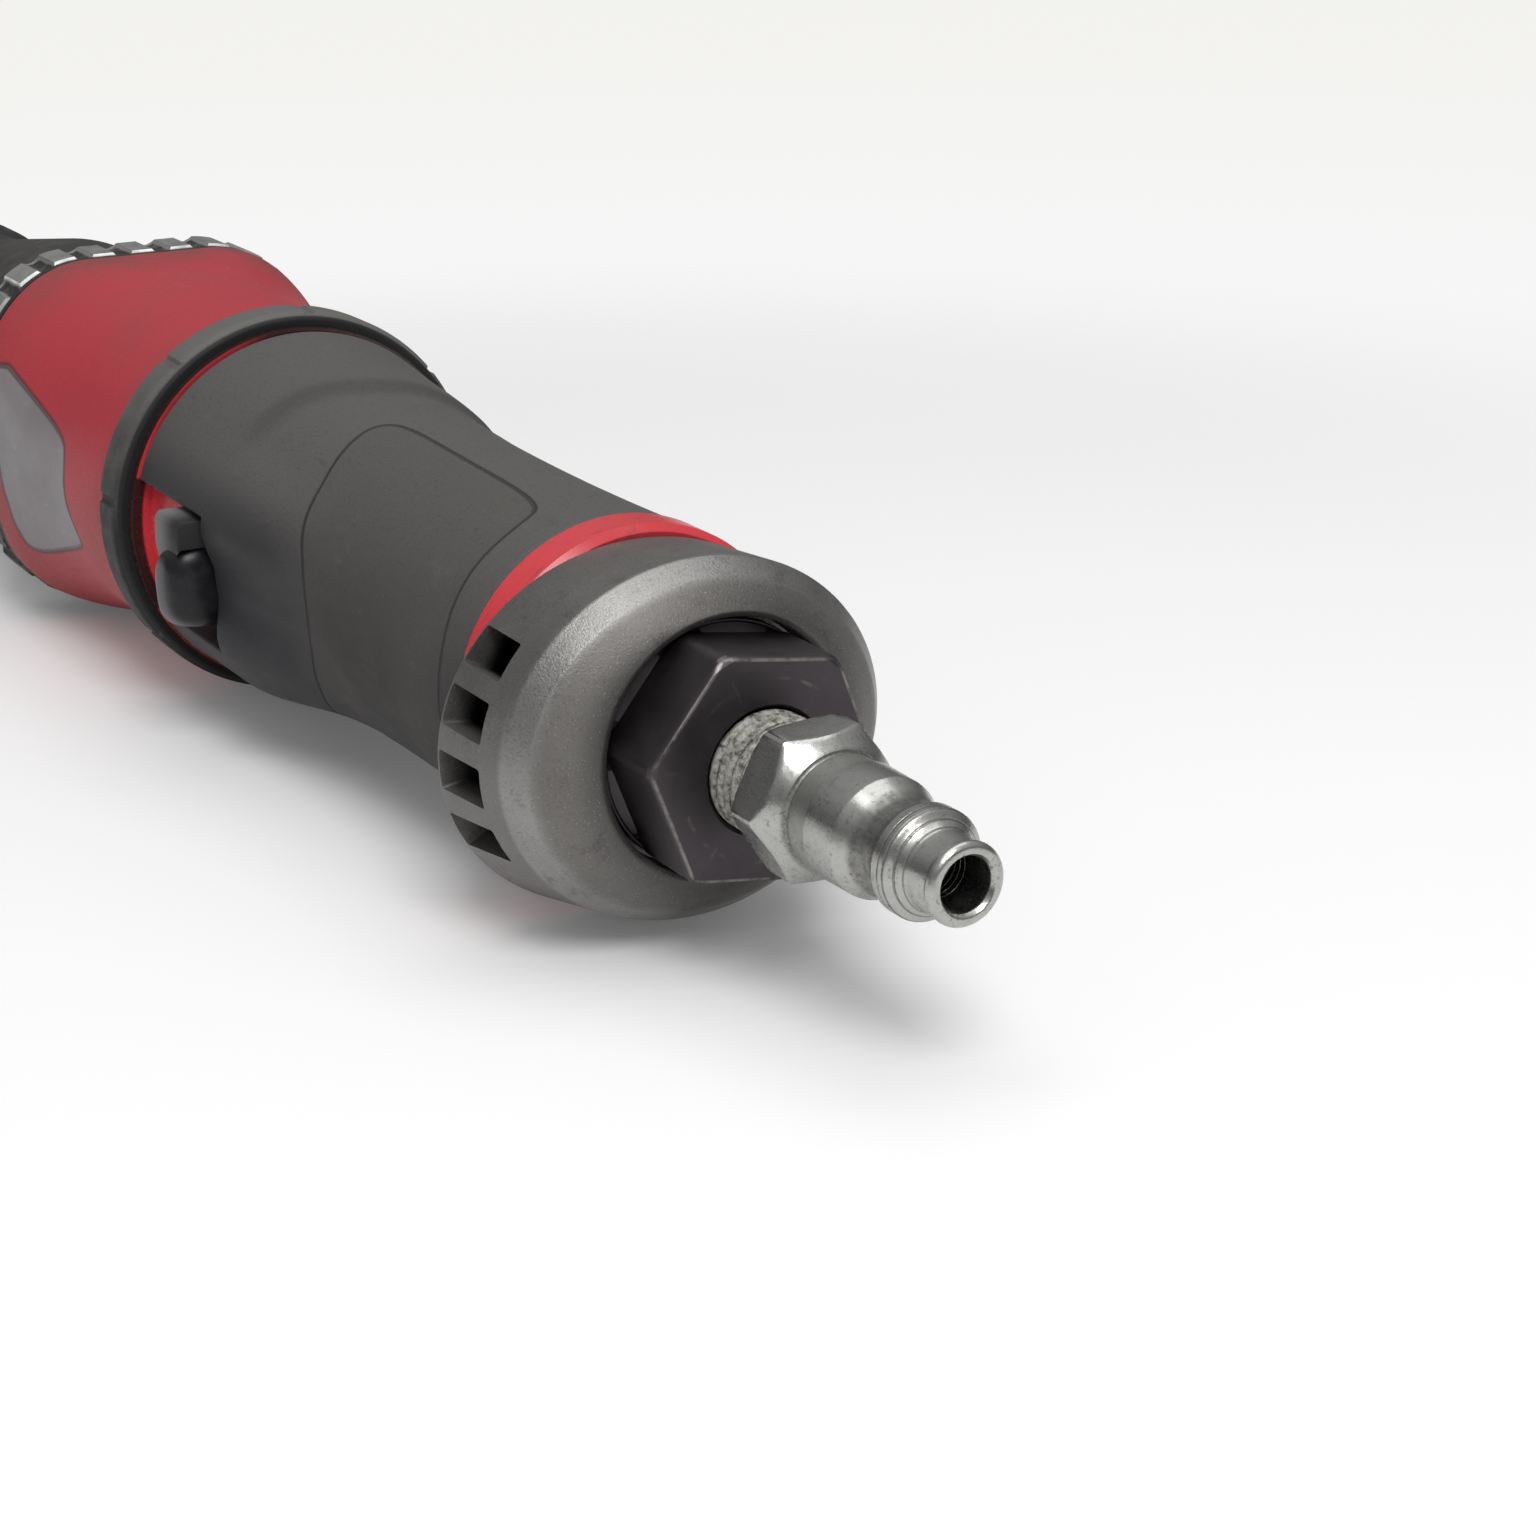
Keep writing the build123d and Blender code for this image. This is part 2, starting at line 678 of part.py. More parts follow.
# Reverse ring, valve, pin and click stop
def make_reverse_ring():
    inner = spigot_radius + running_gap
    base = turned((ring_rear_x, inner), (ring_rear_x, ring_radius - ring_edge),
                  (ring_rear_x + ring_edge, ring_radius), (ring_front_x, ring_radius), (ring_front_x, inner))
    tall = ring_radius + ring_pad_rise
    pads = turned((ring_rear_x + ring_edge, inner), (ring_rear_x + ring_edge, tall - ring_edge),
                  (ring_rear_x + 2 * ring_edge, tall), (ring_front_x - ring_edge, tall),
                  (ring_front_x, ring_radius), (ring_front_x, inner))
    half = math.radians(ring_pad_angle / 2)
    reach = 2 * ring_radius
    wedge_outline = Polyline((0, 0), (reach * math.cos(half), -reach * math.sin(half)),
                             (reach * math.cos(half), reach * math.sin(half)), close=True)
    wedge = extrude(Plane.YZ.offset(ring_rear_x) * make_face(wedge_outline), ring_width)
    step = 360.0 / ring_pad_count
    for wedge_copy in around(wedge, [ring_pad_first + i * step for i in range(ring_pad_count)]):
        base += pads & wedge_copy
    pin_hole = cross_rod(ring_mid_x, -spigot_radius - reverse_pin_reach, 0, reverse_pin_radius + seat_gap)
    track = tube(ring_mid_x - detent_ball_radius - motion_gap, ring_mid_x + detent_ball_radius + motion_gap,
                 spigot_radius + detent_rise + motion_gap, spigot_radius - motion_gap)
    return base - pin_hole - track


def make_reverse_pin():
    return cross_rod(ring_mid_x, -spigot_radius - reverse_pin_reach + seat_gap,
                     -reverse_valve_radius / 2, reverse_pin_radius)


def make_reverse_valve():
    front_x = housing_rear_x - motion_gap
    valve = rod(front_x - reverse_valve_length, front_x, reverse_valve_radius)
    port = rod(front_x - reverse_valve_length, front_x, reverse_port_radius)
    valve = cut_all(valve, around(off_axis(port, reverse_port_circle), (90, 270)))
    return valve - cross_rod(ring_mid_x, -reverse_valve_radius, -reverse_valve_radius / 2,
                             reverse_pin_radius + seat_gap)


def make_detent_ball():
    return Pos(ring_mid_x, spigot_radius + detent_rise - detent_ball_radius, 0) * Sphere(detent_ball_radius)


def make_detent_spring():
    seat = spigot_radius - detent_depth
    ball_rear = spigot_radius + detent_rise - 2 * detent_ball_radius
    return spring((ring_mid_x, seat, 0), (ring_mid_x, ball_rear, 0),
                  detent_ball_radius - 2 * detent_wire, detent_wire, detent_coils)


# Handle housing: core, rear band, front collar and spigot in one moulding
def make_handle_housing():
    core = grip_solid(grip_wall)
    core += turned((boss_rear_x, 0), (boss_rear_x, boss_radius), (band_rear_x, boss_radius),
                   (band_rear_x, band_radius - band_edge), (band_rear_x + band_edge, band_radius),
                   (grip_rear_x - band_edge, band_radius), (grip_rear_x, band_radius - band_edge),
                   (grip_rear_x, 0))
    core += rod(grip_front_x, collar_front_x, handle_collar_radius)
    core += rod(collar_front_x, housing_rear_x, spigot_radius)
    throttle_bore_x = trigger_x - seat_radius
    port_start_x = throttle_bore_x - inlet_port_offset
    thread_end_x = boss_rear_x + bushing_thread_length + motion_gap
    core -= rod(boss_rear_x, thread_end_x, bushing_thread_radius + seat_gap)
    core -= rod(boss_rear_x, boss_rear_x + 2 * o_ring_wire,
                bushing_thread_radius + 2 * o_ring_wire + seat_gap)
    core -= rod(thread_end_x, port_start_x, inlet_radius)
    core -= Pos(0, -inlet_port_offset, 0) * rod(port_start_x - inlet_radius, trigger_x, inlet_port_radius)
    core -= cross_rod(trigger_x, -grip_front_radius, seat_face_y(), seat_radius)
    core -= cross_rod(trigger_x, seat_face_y(), seat_face_y() + outlet_length, outlet_radius)
    core -= cross_rod(trigger_x, seat_face_y(), pocket_floor, bush_radius)
    pocket_x = housing_rear_x - motion_gap - reverse_valve_length - motion_gap
    core -= Pos(0, seat_face_y() + outlet_length / 2, 0) * rod(trigger_x, pocket_x, outlet_port_radius)
    core -= rod(pocket_x, housing_rear_x, reverse_valve_radius + running_gap)
    core -= trigger_pocket()
    core -= trigger_pin(seat_gap)
    core -= reverse_slot()
    core -= cross_rod(ring_mid_x, spigot_radius - detent_depth, 2 * spigot_radius,
                      detent_ball_radius + seat_gap)
    thread = rod(housing_rear_x - screw_grip - motion_gap, housing_rear_x, screw_radius + seat_gap)
    core = cut_all(core, around(off_axis(thread, screw_circle), screw_angles()))
    channel = rod(band_rear_x, housing_rear_x, channel_radius)
    return cut_all(core, around(off_axis(channel, channel_circle), channel_angles))


def reverse_slot():
    """Fan-shaped slot through the spigot, on the -Y side, that lets the pin swing both ways."""
    margin = math.degrees(math.asin((reverse_pin_radius + motion_gap) / reverse_valve_radius))
    half = math.radians(reverse_swing + margin)
    reach = 2 * spigot_radius
    fan = Polyline((0, 0), (-reach * math.cos(half), -reach * math.sin(half)),
                   (-reach * math.cos(half), reach * math.sin(half)), close=True)
    width = 2 * (reverse_pin_radius + motion_gap)
    return extrude(Plane.YZ.offset(ring_mid_x - width / 2) * make_face(fan), width)


def make_grip_sleeve():
    guard = scale(Sphere(guard_rise), by=(guard_length / guard_rise, 1, guard_half_width / guard_rise))
    window_rear = trigger_x - trigger_length / 2 - motion_gap
    guard = Pos(window_rear, guard_height, -guard_drop) * guard
    reach = 2 * guard_length
    guard &= block((window_rear - reach, -reach, -reach), (window_rear, reach, reach))
    sleeve = grip_solid(0) + guard
    sleeve -= grip_solid(grip_wall - seat_gap)
    window_top = trigger_top + pocket_headroom + window_margin
    window = block((window_rear, 0, -trigger_bottom - window_margin),
                   (collar_front_x + grip_wall, 2 * grip_front_radius, window_top))
    return sleeve - window


# Trigger and throttle
def trigger_pocket():
    half = trigger_length / 2 + motion_gap
    return block((trigger_x - half, pocket_floor, -trigger_bottom - motion_gap),
                 (trigger_x + half, 2 * grip_front_radius, trigger_top + pocket_headroom))


def trigger_pin(extra):
    """Dowel through the pocket, at the height of the trigger's slot."""
    half = trigger_length / 2 + trigger_pin_anchor
    centre_y = trigger_inner + trigger_edge + motion_gap + trigger_pin_radius
    pin = rod(trigger_x - half, trigger_x + half, trigger_pin_radius + extra)
    return Pos(0, centre_y, -trigger_pin_drop) * pin


def make_trigger_pin():
    return trigger_pin(0)


def make_trigger():
    brow = (trigger_brow, trigger_top)
    chin = (trigger_chin, -trigger_bottom)
    sides = Polyline(brow, (trigger_inner, trigger_top), (trigger_inner, -trigger_bottom), chin)
    nose = ThreePointArc(chin, (trigger_nose, -trigger_nose_drop), brow)
    outline = make_face([sides, nose])
    body = extrude(Plane.YZ.offset(trigger_x - trigger_length / 2) * outline, trigger_length)
    inner_end = trigger_inner + trigger_edge
    slot_low = -trigger_pin_drop - trigger_pin_radius - motion_gap
    slot_high = -trigger_pin_drop + trigger_pin_radius + motion_gap
    slot_end = inner_end + trigger_travel + 2 * (trigger_pin_radius + motion_gap)
    body -= block((trigger_x - trigger_length, inner_end, slot_low),
                  (trigger_x + trigger_length, slot_end, slot_high))
    return body - cross_rod(trigger_x, trigger_inner, trigger_inner + rod_seat, rod_radius + seat_gap)


def seat_face_y():
    """Step in the throttle bore that the valve seat rests on."""
    return pocket_floor - bush_length - outlet_length


def valve_face_y():
    return seat_face_y() - seat_length - seat_gap


def make_throttle_rod():
    return cross_rod(trigger_x, valve_face_y() + seat_gap, trigger_inner + rod_seat, rod_radius)


def make_throttle_bush():
    start_y = pocket_floor - bush_length
    sleeve = cross_rod(trigger_x, start_y, pocket_floor, bush_radius - seat_gap)
    return sleeve - cross_rod(trigger_x, start_y, pocket_floor, rod_radius + running_gap)


def make_valve_seat():
    start_y = seat_face_y() - seat_length
    ring = cross_rod(trigger_x, start_y, seat_face_y(), seat_radius - seat_gap)
    return ring - cross_rod(trigger_x, start_y, seat_face_y(), seat_hole_radius)


def make_throttle_valve():
    face_y = valve_face_y()
    back_y = face_y - valve_thickness
    head = cross_rod(trigger_x, back_y, face_y, valve_radius)
    return head + cross_rod(trigger_x, back_y - valve_stem_length, back_y, valve_stem_radius)


def make_throttle_spring():
    back_y = valve_face_y() - valve_thickness
    return spring((trigger_x, -plug_cap_face, 0), (trigger_x, back_y, 0), throttle_coil_radius,
                  throttle_wire, throttle_coils)


def make_throttle_plug():
    outer_y = -plug_cap_face - plug_cap_length
    cap = cross_rod(trigger_x, outer_y, -plug_cap_face, seat_radius - seat_gap)
    cap -= cross_rod(trigger_x, -plug_cap_face - stem_guide_depth, -plug_cap_face,
                     valve_stem_radius + motion_gap)
    half = plug_cap_slot / 2
    return cap - block((trigger_x - seat_radius, outer_y, -half),
                       (trigger_x + seat_radius, outer_y + half, half))


# Exhaust deflector, which swivels on the inlet bushing
def oval(x, half_width, half_height, drop):
    """Oval section of the deflector at station x."""
    return Plane.YZ.offset(x) * Pos(deflector_side, -drop) * Ellipse(half_width, half_height)


def make_exhaust_deflector():
    edge_x = deflector_rear_x - deflector_bevel_start
    bevel_x = edge_x - deflector_bevel_length
    mouth_x = bevel_x - deflector_face_length
    recess = bushing_flange_radius + bushing_recess_gap
    wide = deflector_front_half_width
    tall = deflector_front_half_height
    low = deflector_front_drop
    side = loft([oval(deflector_rear_x, deflector_rear_half_width, deflector_rear_half_height,
                      deflector_rear_drop),
                 oval(edge_x, wide, tall, low)])
    bevel = loft([oval(edge_x, wide, tall, low),
                  oval(bevel_x, wide - deflector_bevel_inset, tall - deflector_bevel_inset, low)])
    face = loft([oval(bevel_x, wide - deflector_bevel_inset, tall - deflector_bevel_inset, low),
                 Plane.YZ.offset(mouth_x) * Circle(recess + deflector_mouth_wall)])
    cup = side + bevel + face
    cup -= loft([oval(deflector_rear_x, deflector_rear_half_width - deflector_wall,
                      deflector_rear_half_height - deflector_wall, deflector_rear_drop),
                 oval(lip_rear_x, wide - deflector_wall, tall - deflector_wall, low)])
    cup -= rod(mouth_x, lip_front_x, recess)
    cup -= rod(lip_front_x, lip_rear_x, bushing_journal_radius + running_gap)
    half = exhaust_slot_width / 2
    slot = block((deflector_rear_x - exhaust_slot_depth, boss_radius, -half),
                 (deflector_rear_x - exhaust_slot_rim, 2 * deflector_rear_half_width, half))
    angles = [exhaust_slot_first - i * exhaust_slot_pitch for i in range(exhaust_slot_count)]
    return cut_all(cup, around(slot, angles))


def make_silencer():
    inner = boss_radius + seat_gap
    return tube(band_rear_x - silencer_length, band_rear_x, inner + silencer_wall, inner)


# Inlet bushing, screen, seal and plug
def make_inlet_bushing():
    hexagon = hex_bar(bushing_front_x, flange_front_x, bushing_hex, bushing_hex_turn)
    corner = bushing_hex / math.sqrt(3)
    hexagon &= turned((bushing_front_x, 0), (bushing_front_x, corner - bushing_hex_chamfer),
                      (bushing_front_x + bushing_hex_chamfer, corner), (flange_front_x, corner),
                      (flange_front_x, 0))
    thread_end_x = boss_rear_x + bushing_thread_length
    body = hexagon + rod(flange_front_x, flange_rear_x, bushing_flange_radius)
    body += rod(flange_rear_x, boss_rear_x, bushing_journal_radius)
    body += rod(boss_rear_x, thread_end_x, bushing_thread_radius)
    body -= rod(bushing_front_x, bushing_front_x + plug_thread_length, plug_thread_radius + seat_gap)
    body -= rod(bushing_front_x, thread_end_x, inlet_radius)
    return body - rod(thread_end_x - 2 * screen_thickness, thread_end_x, screen_radius + seat_gap)


def make_inlet_screen():
    end_x = boss_rear_x + bushing_thread_length
    disc = rod(end_x - 2 * screen_thickness, end_x - screen_thickness, screen_radius)
    hole = rod(end_x - 2 * screen_thickness, end_x - screen_thickness, screen_hole_radius)
    step = 360.0 / screen_hole_count
    angles = [i * step for i in range(screen_hole_count)]
    disc = cut_all(disc, around(off_axis(hole, screen_hole_circle), angles))
    return disc - hole


def make_inlet_o_ring():
    major = bushing_thread_radius + o_ring_wire + seat_gap / 2
    return Pos(boss_rear_x + o_ring_wire, 0, 0) * Rot(0, 90, 0) * Torus(major, o_ring_wire)


def make_air_plug():
    nose_x = plug_tip_x + plug_nose_length
    collar_x = nose_x + plug_cone
    groove_x = collar_x + plug_collar_length + plug_cone
    shoulder_x = groove_x + plug_groove_length + plug_shoulder_rise
    neck_x = shoulder_x + plug_shoulder_length
    hex_x = neck_x + plug_neck_length
    thread_x = hex_x + plug_hex_length
    end_x = bushing_front_x + plug_thread_length
    body = turned((plug_tip_x, 0), (plug_tip_x, plug_nose_radius - plug_edge),
                  (plug_tip_x + plug_edge, plug_nose_radius), (nose_x, plug_nose_radius),
                  (collar_x, plug_collar_radius), (collar_x + plug_collar_length, plug_collar_radius),
                  (groove_x, plug_groove_radius), (groove_x + plug_groove_length, plug_groove_radius),
                  (shoulder_x, plug_shoulder_radius - plug_edge), (neck_x, plug_shoulder_radius),
                  (neck_x, plug_neck_radius),
                  (hex_x, plug_neck_radius), (thread_x, plug_thread_radius), (end_x, plug_thread_radius),
                  (end_x, 0))
    corner = plug_hex / math.sqrt(3)
    chamfered = turned((hex_x, 0), (hex_x, plug_neck_radius), (hex_x + plug_hex_cone, corner),
                       (thread_x - plug_hex_chamfer, corner), (thread_x, corner - plug_hex_chamfer),
                       (thread_x, 0))
    body += hex_bar(hex_x, thread_x, plug_hex, plug_hex_turn) & chamfered
    return body - rod(plug_tip_x, end_x, plug_bore)


hammer_start_x = cage_stations()[1] + hammer_gap

pieces = {
    "air_plug": make_air_plug(),
    "inlet_bushing": make_inlet_bushing(),
    "inlet_screen": make_inlet_screen(),
    "inlet_o_ring": make_inlet_o_ring(),
    "exhaust_deflector": make_exhaust_deflector(),
    "silencer": make_silencer(),
    "handle_housing": make_handle_housing(),
    "grip_sleeve": make_grip_sleeve(),
    "trigger": make_trigger(),
    "trigger_pin": make_trigger_pin(),
    "throttle_rod": make_throttle_rod(),
    "throttle_bush": make_throttle_bush(),
    "valve_seat": make_valve_seat(),
    "throttle_valve": make_throttle_valve(),
    "throttle_spring": make_throttle_spring(),
    "throttle_plug": make_throttle_plug(),
    "reverse_ring": make_reverse_ring(),
    "reverse_valve": make_reverse_valve(),
    "reverse_pin": make_reverse_pin(),
    "detent_ball": make_detent_ball(),
    "detent_spring": make_detent_spring(),
    "handle_screws": make_handle_screws(),
    "motor_housing": make_motor_housing(),
    "rear_end_plate": make_rear_end_plate(),
    "rear_bearing": make_rear_bearing(),
    "motor_cylinder": make_motor_cylinder(),
    "motor_dowel": make_motor_dowel(),
    "rotor": make_rotor(),
    "rotor_vanes": make_rotor_vanes(),
    "front_end_plate": make_front_end_plate(),
    "front_bearing": make_front_bearing(),
    "clamp_seal": make_clamp_seal(),
    "case_clamp": make_case_clamp(),
    "hammer_case": make_hammer_case(),
    "hammer_cage": make_hammer_cage(),
    "hammer_pins": make_hammer_pins(),
    "rear_hammer": make_hammer(hammer_start_x, 90),
    "front_hammer": make_hammer(hammer_start_x + hammer_length + hammer_gap, 270),
    "anvil": make_anvil(),
    "nose_bushing": make_nose_bushing(),
    "nose_seal": make_nose_seal(),
    "nose_boot": make_nose_boot(),
    "socket_ring": make_socket_ring(),
    "socket_o_ring": make_socket_o_ring(),
}

os.makedirs("parts", exist_ok=True)
for name, piece in pieces.items():
    solids = piece if isinstance(piece, list) else [piece]
    children = [solid for part in solids for solid in part.solids()]
    export_step(Compound(children=children), f"parts/{name}.step")
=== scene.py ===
import math

import bmesh
import bpy
import numpy as np
from mathutils import Matrix, Vector


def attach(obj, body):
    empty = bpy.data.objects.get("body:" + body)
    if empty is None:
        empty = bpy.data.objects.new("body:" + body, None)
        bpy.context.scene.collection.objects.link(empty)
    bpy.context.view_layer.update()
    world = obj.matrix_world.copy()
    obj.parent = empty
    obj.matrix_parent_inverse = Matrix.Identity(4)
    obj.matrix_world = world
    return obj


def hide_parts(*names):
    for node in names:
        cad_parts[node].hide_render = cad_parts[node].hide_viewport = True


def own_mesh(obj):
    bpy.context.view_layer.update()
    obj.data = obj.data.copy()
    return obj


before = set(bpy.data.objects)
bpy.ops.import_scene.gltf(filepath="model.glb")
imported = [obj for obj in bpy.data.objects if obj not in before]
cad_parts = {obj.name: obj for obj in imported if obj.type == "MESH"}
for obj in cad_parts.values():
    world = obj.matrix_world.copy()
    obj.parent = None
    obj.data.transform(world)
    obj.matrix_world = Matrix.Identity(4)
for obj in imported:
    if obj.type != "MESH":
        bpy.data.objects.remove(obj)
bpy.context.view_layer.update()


# Studio: the tool lies on a pale sheet of card, on its reverse ring and the rim of its exhaust deflector.
# Two softboxes and a small window light it from above, and the camera stands behind the air plug, on the
# trigger's side.
MM = 0.001
FULL_TURN = 2 * math.pi
scene = bpy.context.scene
scene.view_settings.view_transform = "Standard"

photo_width = 1536
focal_pixels = 3000
sensor_width = 36.0
eye = Vector((-517.4, 146.5, 104.3)) * MM
ahead = Vector((0.804, -0.485, -0.344)).normalized()
rightward = ahead.cross(Vector((0, 0, 1))).normalized()
upward = rightward.cross(ahead)
camera_lens = bpy.data.cameras.new("bench_camera")
camera_lens.sensor_width = sensor_width
camera_lens.lens = sensor_width * focal_pixels / photo_width
camera_lens.clip_start = 10 * MM
camera = bpy.data.objects.new("bench_camera", camera_lens)
scene.collection.objects.link(camera)
camera.matrix_world = Matrix.Translation(eye) @ Matrix((rightward, upward, -ahead)).transposed().to_4x4()
scene.camera = camera


class Wire:
    """One output of a shader node. Sums written on wires add the Math nodes that they need."""

    MIX_COLOURS = (6, 7)
    MIX_RESULT = 2

    def __init__(self, tree, socket):
        self.tree = tree
        self.socket = socket

    def node(self, kind, settings, values, output=0):
        """A further node in the same tree: its settings first, then the values or wires of its sockets."""
        made = self.tree.nodes.new(kind)
        for name, value in settings.items():
            setattr(made, name, value)
        for key, value in values.items():
            if isinstance(value, Wire):
                self.tree.links.new(value.socket, made.inputs[key])
            else:
                made.inputs[key].default_value = value
        return Wire(self.tree, made.outputs[output])

    def maths(self, operation, first, second):
        return self.node("ShaderNodeMath", {"operation": operation}, {0: first, 1: second})

    def __add__(self, other):
        return self.maths("ADD", self, other)

    def __sub__(self, other):
        return self.maths("SUBTRACT", self, other)

    def __rsub__(self, other):
        return self.maths("SUBTRACT", other, self)

    def __mul__(self, other):
        return self.maths("MULTIPLY", self, other)

    def __truediv__(self, other):
        return self.maths("DIVIDE", self, other)

    def __pow__(self, other):
        return self.maths("POWER", self, other)

    __radd__ = __add__
    __rmul__ = __mul__

    def most(self, other):
        return self.maths("MAXIMUM", self, other)

    def least(self, other):
        return self.maths("MINIMUM", self, other)

    def size(self):
        return self.maths("ABSOLUTE", self, 0.0)

    def cosine(self):
        return self.maths("COSINE", self, 0.0)

    def wrapped(self, span):
        """Rest after taking the span away as often as it goes."""
        return self.maths("FLOORED_MODULO", self, span)

    def step(self, low, high):
        """0 at low, 1 at high and smooth between. It falls where low is the larger."""
        return self.node("ShaderNodeMapRange", {"interpolation_type": "SMOOTHSTEP"},
                         {"Value": self, "From Min": low, "From Max": high})

    def part(self, axis):
        return self.node("ShaderNodeSeparateXYZ", {}, {0: self}, axis)

    def stretched(self, factors):
        return self.node("ShaderNodeMapping", {}, {"Vector": self, "Scale": factors})

    def noise(self, grain_mm, detail=3.0, roughness=0.55):
        """Cloudy pattern from 0 to 1, with spots of about the size that is given."""
        return self.node("ShaderNodeTexNoise", {}, {"Vector": self, "Scale": 1 / (grain_mm * MM),
                                                    "Detail": detail, "Roughness": roughness})

    def blend(self, first, second):
        """Colour that goes from first to second as this wire goes from 0 to 1."""
        colours = {0: self}
        for key, value in zip(self.MIX_COLOURS, (first, second)):
            colours[key] = value if isinstance(value, Wire) else (*value, 1.0)
        return self.node("ShaderNodeMix", {"data_type": "RGBA"}, colours, self.MIX_RESULT)

    def under(self, *layers):
        """This colour with others laid over it, each as thick as its own mask says."""
        skin = self
        for mask, colour in layers:
            skin = mask.blend(skin, colour)
        return skin


class Finish:
    """A material with one Principled shader, the piece's own coordinates and the wires that feed it."""

    def __init__(self, name, metallic=0.0):
        self.material = bpy.data.materials.new(name)
        self.material.use_nodes = True
        self.tree = self.material.node_tree
        self.shader = self.tree.nodes["Principled BSDF"]
        self.shader.inputs["Metallic"].default_value = metallic
        self.place = Wire(self.tree, self.tree.nodes.new("ShaderNodeTexCoord").outputs["Object"])
        self.x, self.y, self.z = (self.place.part(axis) for axis in range(3))

    def feed(self, socket, value):
        if isinstance(value, Wire):
            self.tree.links.new(value.socket, self.shader.inputs[socket])
        else:
            self.shader.inputs[socket].default_value = value

    def two_tone(self, pattern, first, second, roughness, change):
        """Colour and roughness that both follow one pattern."""
        self.feed("Base Color", pattern.blend(first, second))
        self.feed("Roughness", roughness + change * pattern)

    def relief(self, height, depth_mm):
        """Bump of the surface, as deep as given where the height wire goes from 0 to 1."""
        bump = {"Strength": 1.0, "Distance": depth_mm * MM, "Height": height}
        self.feed("Normal", self.place.node("ShaderNodeBump", {}, bump))

    def radius(self):
        return (self.y * self.y + self.z * self.z) ** 0.5

    def angle(self):
        """Angle round the tool's axis in radians, 0 at +Y and a quarter turn at +Z."""
        return self.place.maths("ARCTAN2", self.z, self.y)

    def upward(self):
        """1 on top of the tool, 0 at its sides and -1 below, for dust and for light and shade painted by the
        way a surface faces.
        """
        return self.z / self.radius()

    def along(self, low_mm, high_mm):
        """0 at one station of the tool's axis, 1 at another and smooth between."""
        return self.x.step(low_mm * MM, high_mm * MM)

    def outward(self, low_mm, high_mm):
        """0 at one distance from the tool's axis, 1 at another and smooth between."""
        return self.radius().step(low_mm * MM, high_mm * MM)

    def band(self, station_mm, inner_mm, outer_mm):
        """1 near a station of the tool's axis and 0 away from it."""
        return (self.x - station_mm * MM).size().step(outer_mm * MM, inner_mm * MM)

    def attribute(self, name):
        return self.place.node("ShaderNodeAttribute", {"attribute_name": name}, {}, "Fac")

    def dress(self, *nodes):
        """Puts this finish on nodes of the solid model."""
        for node in nodes:
            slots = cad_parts[node].data.materials
            slots.clear()
            slots.append(self.material)


ring_rest = Vector((-150.8, 0, -25.75))
rim_rest = Vector((-248.3, 0, -22.95))
card_middle = -160.0
card_radius = 3000.0
card_sides = 96
card_slope = (rim_rest.z - ring_rest.z) / (rim_rest.x - ring_rest.x)
card_height = ring_rest.z + card_slope * (card_middle - ring_rest.x)
card_mesh = bpy.data.meshes.new("card")
card_build = bmesh.new()
bmesh.ops.create_circle(card_build, cap_ends=True, segments=card_sides, radius=card_radius * MM)
card_build.to_mesh(card_mesh)
card_build.free()
card = bpy.data.objects.new("card", card_mesh)
scene.collection.objects.link(card)
card.matrix_world = (Matrix.Translation(Vector((card_middle, 0, card_height)) * MM)
                     @ Matrix.Rotation(-math.atan(card_slope), 4, "Y"))

card_lit = (0.9, 0.9, 0.9, 1.0)
card_near = (0.935, 0.935, 0.935)
card_far = (0.912, 0.906, 0.885)
card_finish = Finish("card_white")
card_finish.feed("Base Color", card_lit)
card_finish.feed("Roughness", 0.9)
card_distance = (card_finish.x * card_finish.x + card_finish.y * card_finish.y) ** 0.5
card_tone = card_distance.step(0.3, 0.9).blend(card_near, card_far)
card_rays = card_finish.tree.nodes.new("ShaderNodeLightPath").outputs
card_seen = Wire(card_finish.tree, card_rays["Is Camera Ray"])
for ray in ("Is Glossy Ray", "Is Transmission Ray"):
    card_seen = card_seen.most(Wire(card_finish.tree, card_rays[ray]))
card_share = 0.1 + 0.86 * card_distance.step(0.16, 0.38)
card_glow = card_finish.place.node("ShaderNodeEmission", {}, {"Color": card_tone, "Strength": 1.0})
card_shader = Wire(card_finish.tree, card_finish.shader.outputs[0])
card_mix = card_seen.node("ShaderNodeMixShader", {},
                          {0: card_seen * card_share, 1: card_shader, 2: card_glow})
card_finish.tree.links.new(card_mix.socket, card_finish.tree.nodes["Material Output"].inputs["Surface"])
card_mesh.materials.append(card_finish.material)

room_low = (0.1, 0.1, 0.105)
room_high = (0.5, 0.5, 0.5)
room_back = (0.913, 0.907, 0.886)
room = bpy.data.worlds.new("studio_room")
room.use_nodes = True
scene.world = room
room_tree = room.node_tree
room_sky = room_tree.nodes["Background"]
room_way = Wire(room_tree, room_tree.nodes.new("ShaderNodeTexCoord").outputs["Generated"])
room_path = room_tree.nodes.new("ShaderNodeLightPath")
room_shade = room_way.part(2).step(0.0, 0.8).blend(room_low, room_high)
room_colour = Wire(room_tree, room_path.outputs["Is Camera Ray"]).blend(room_shade, room_back)
room_tree.links.new(room_colour.socket, room_sky.inputs["Color"])
room_sky.inputs["Strength"].default_value = 1.0

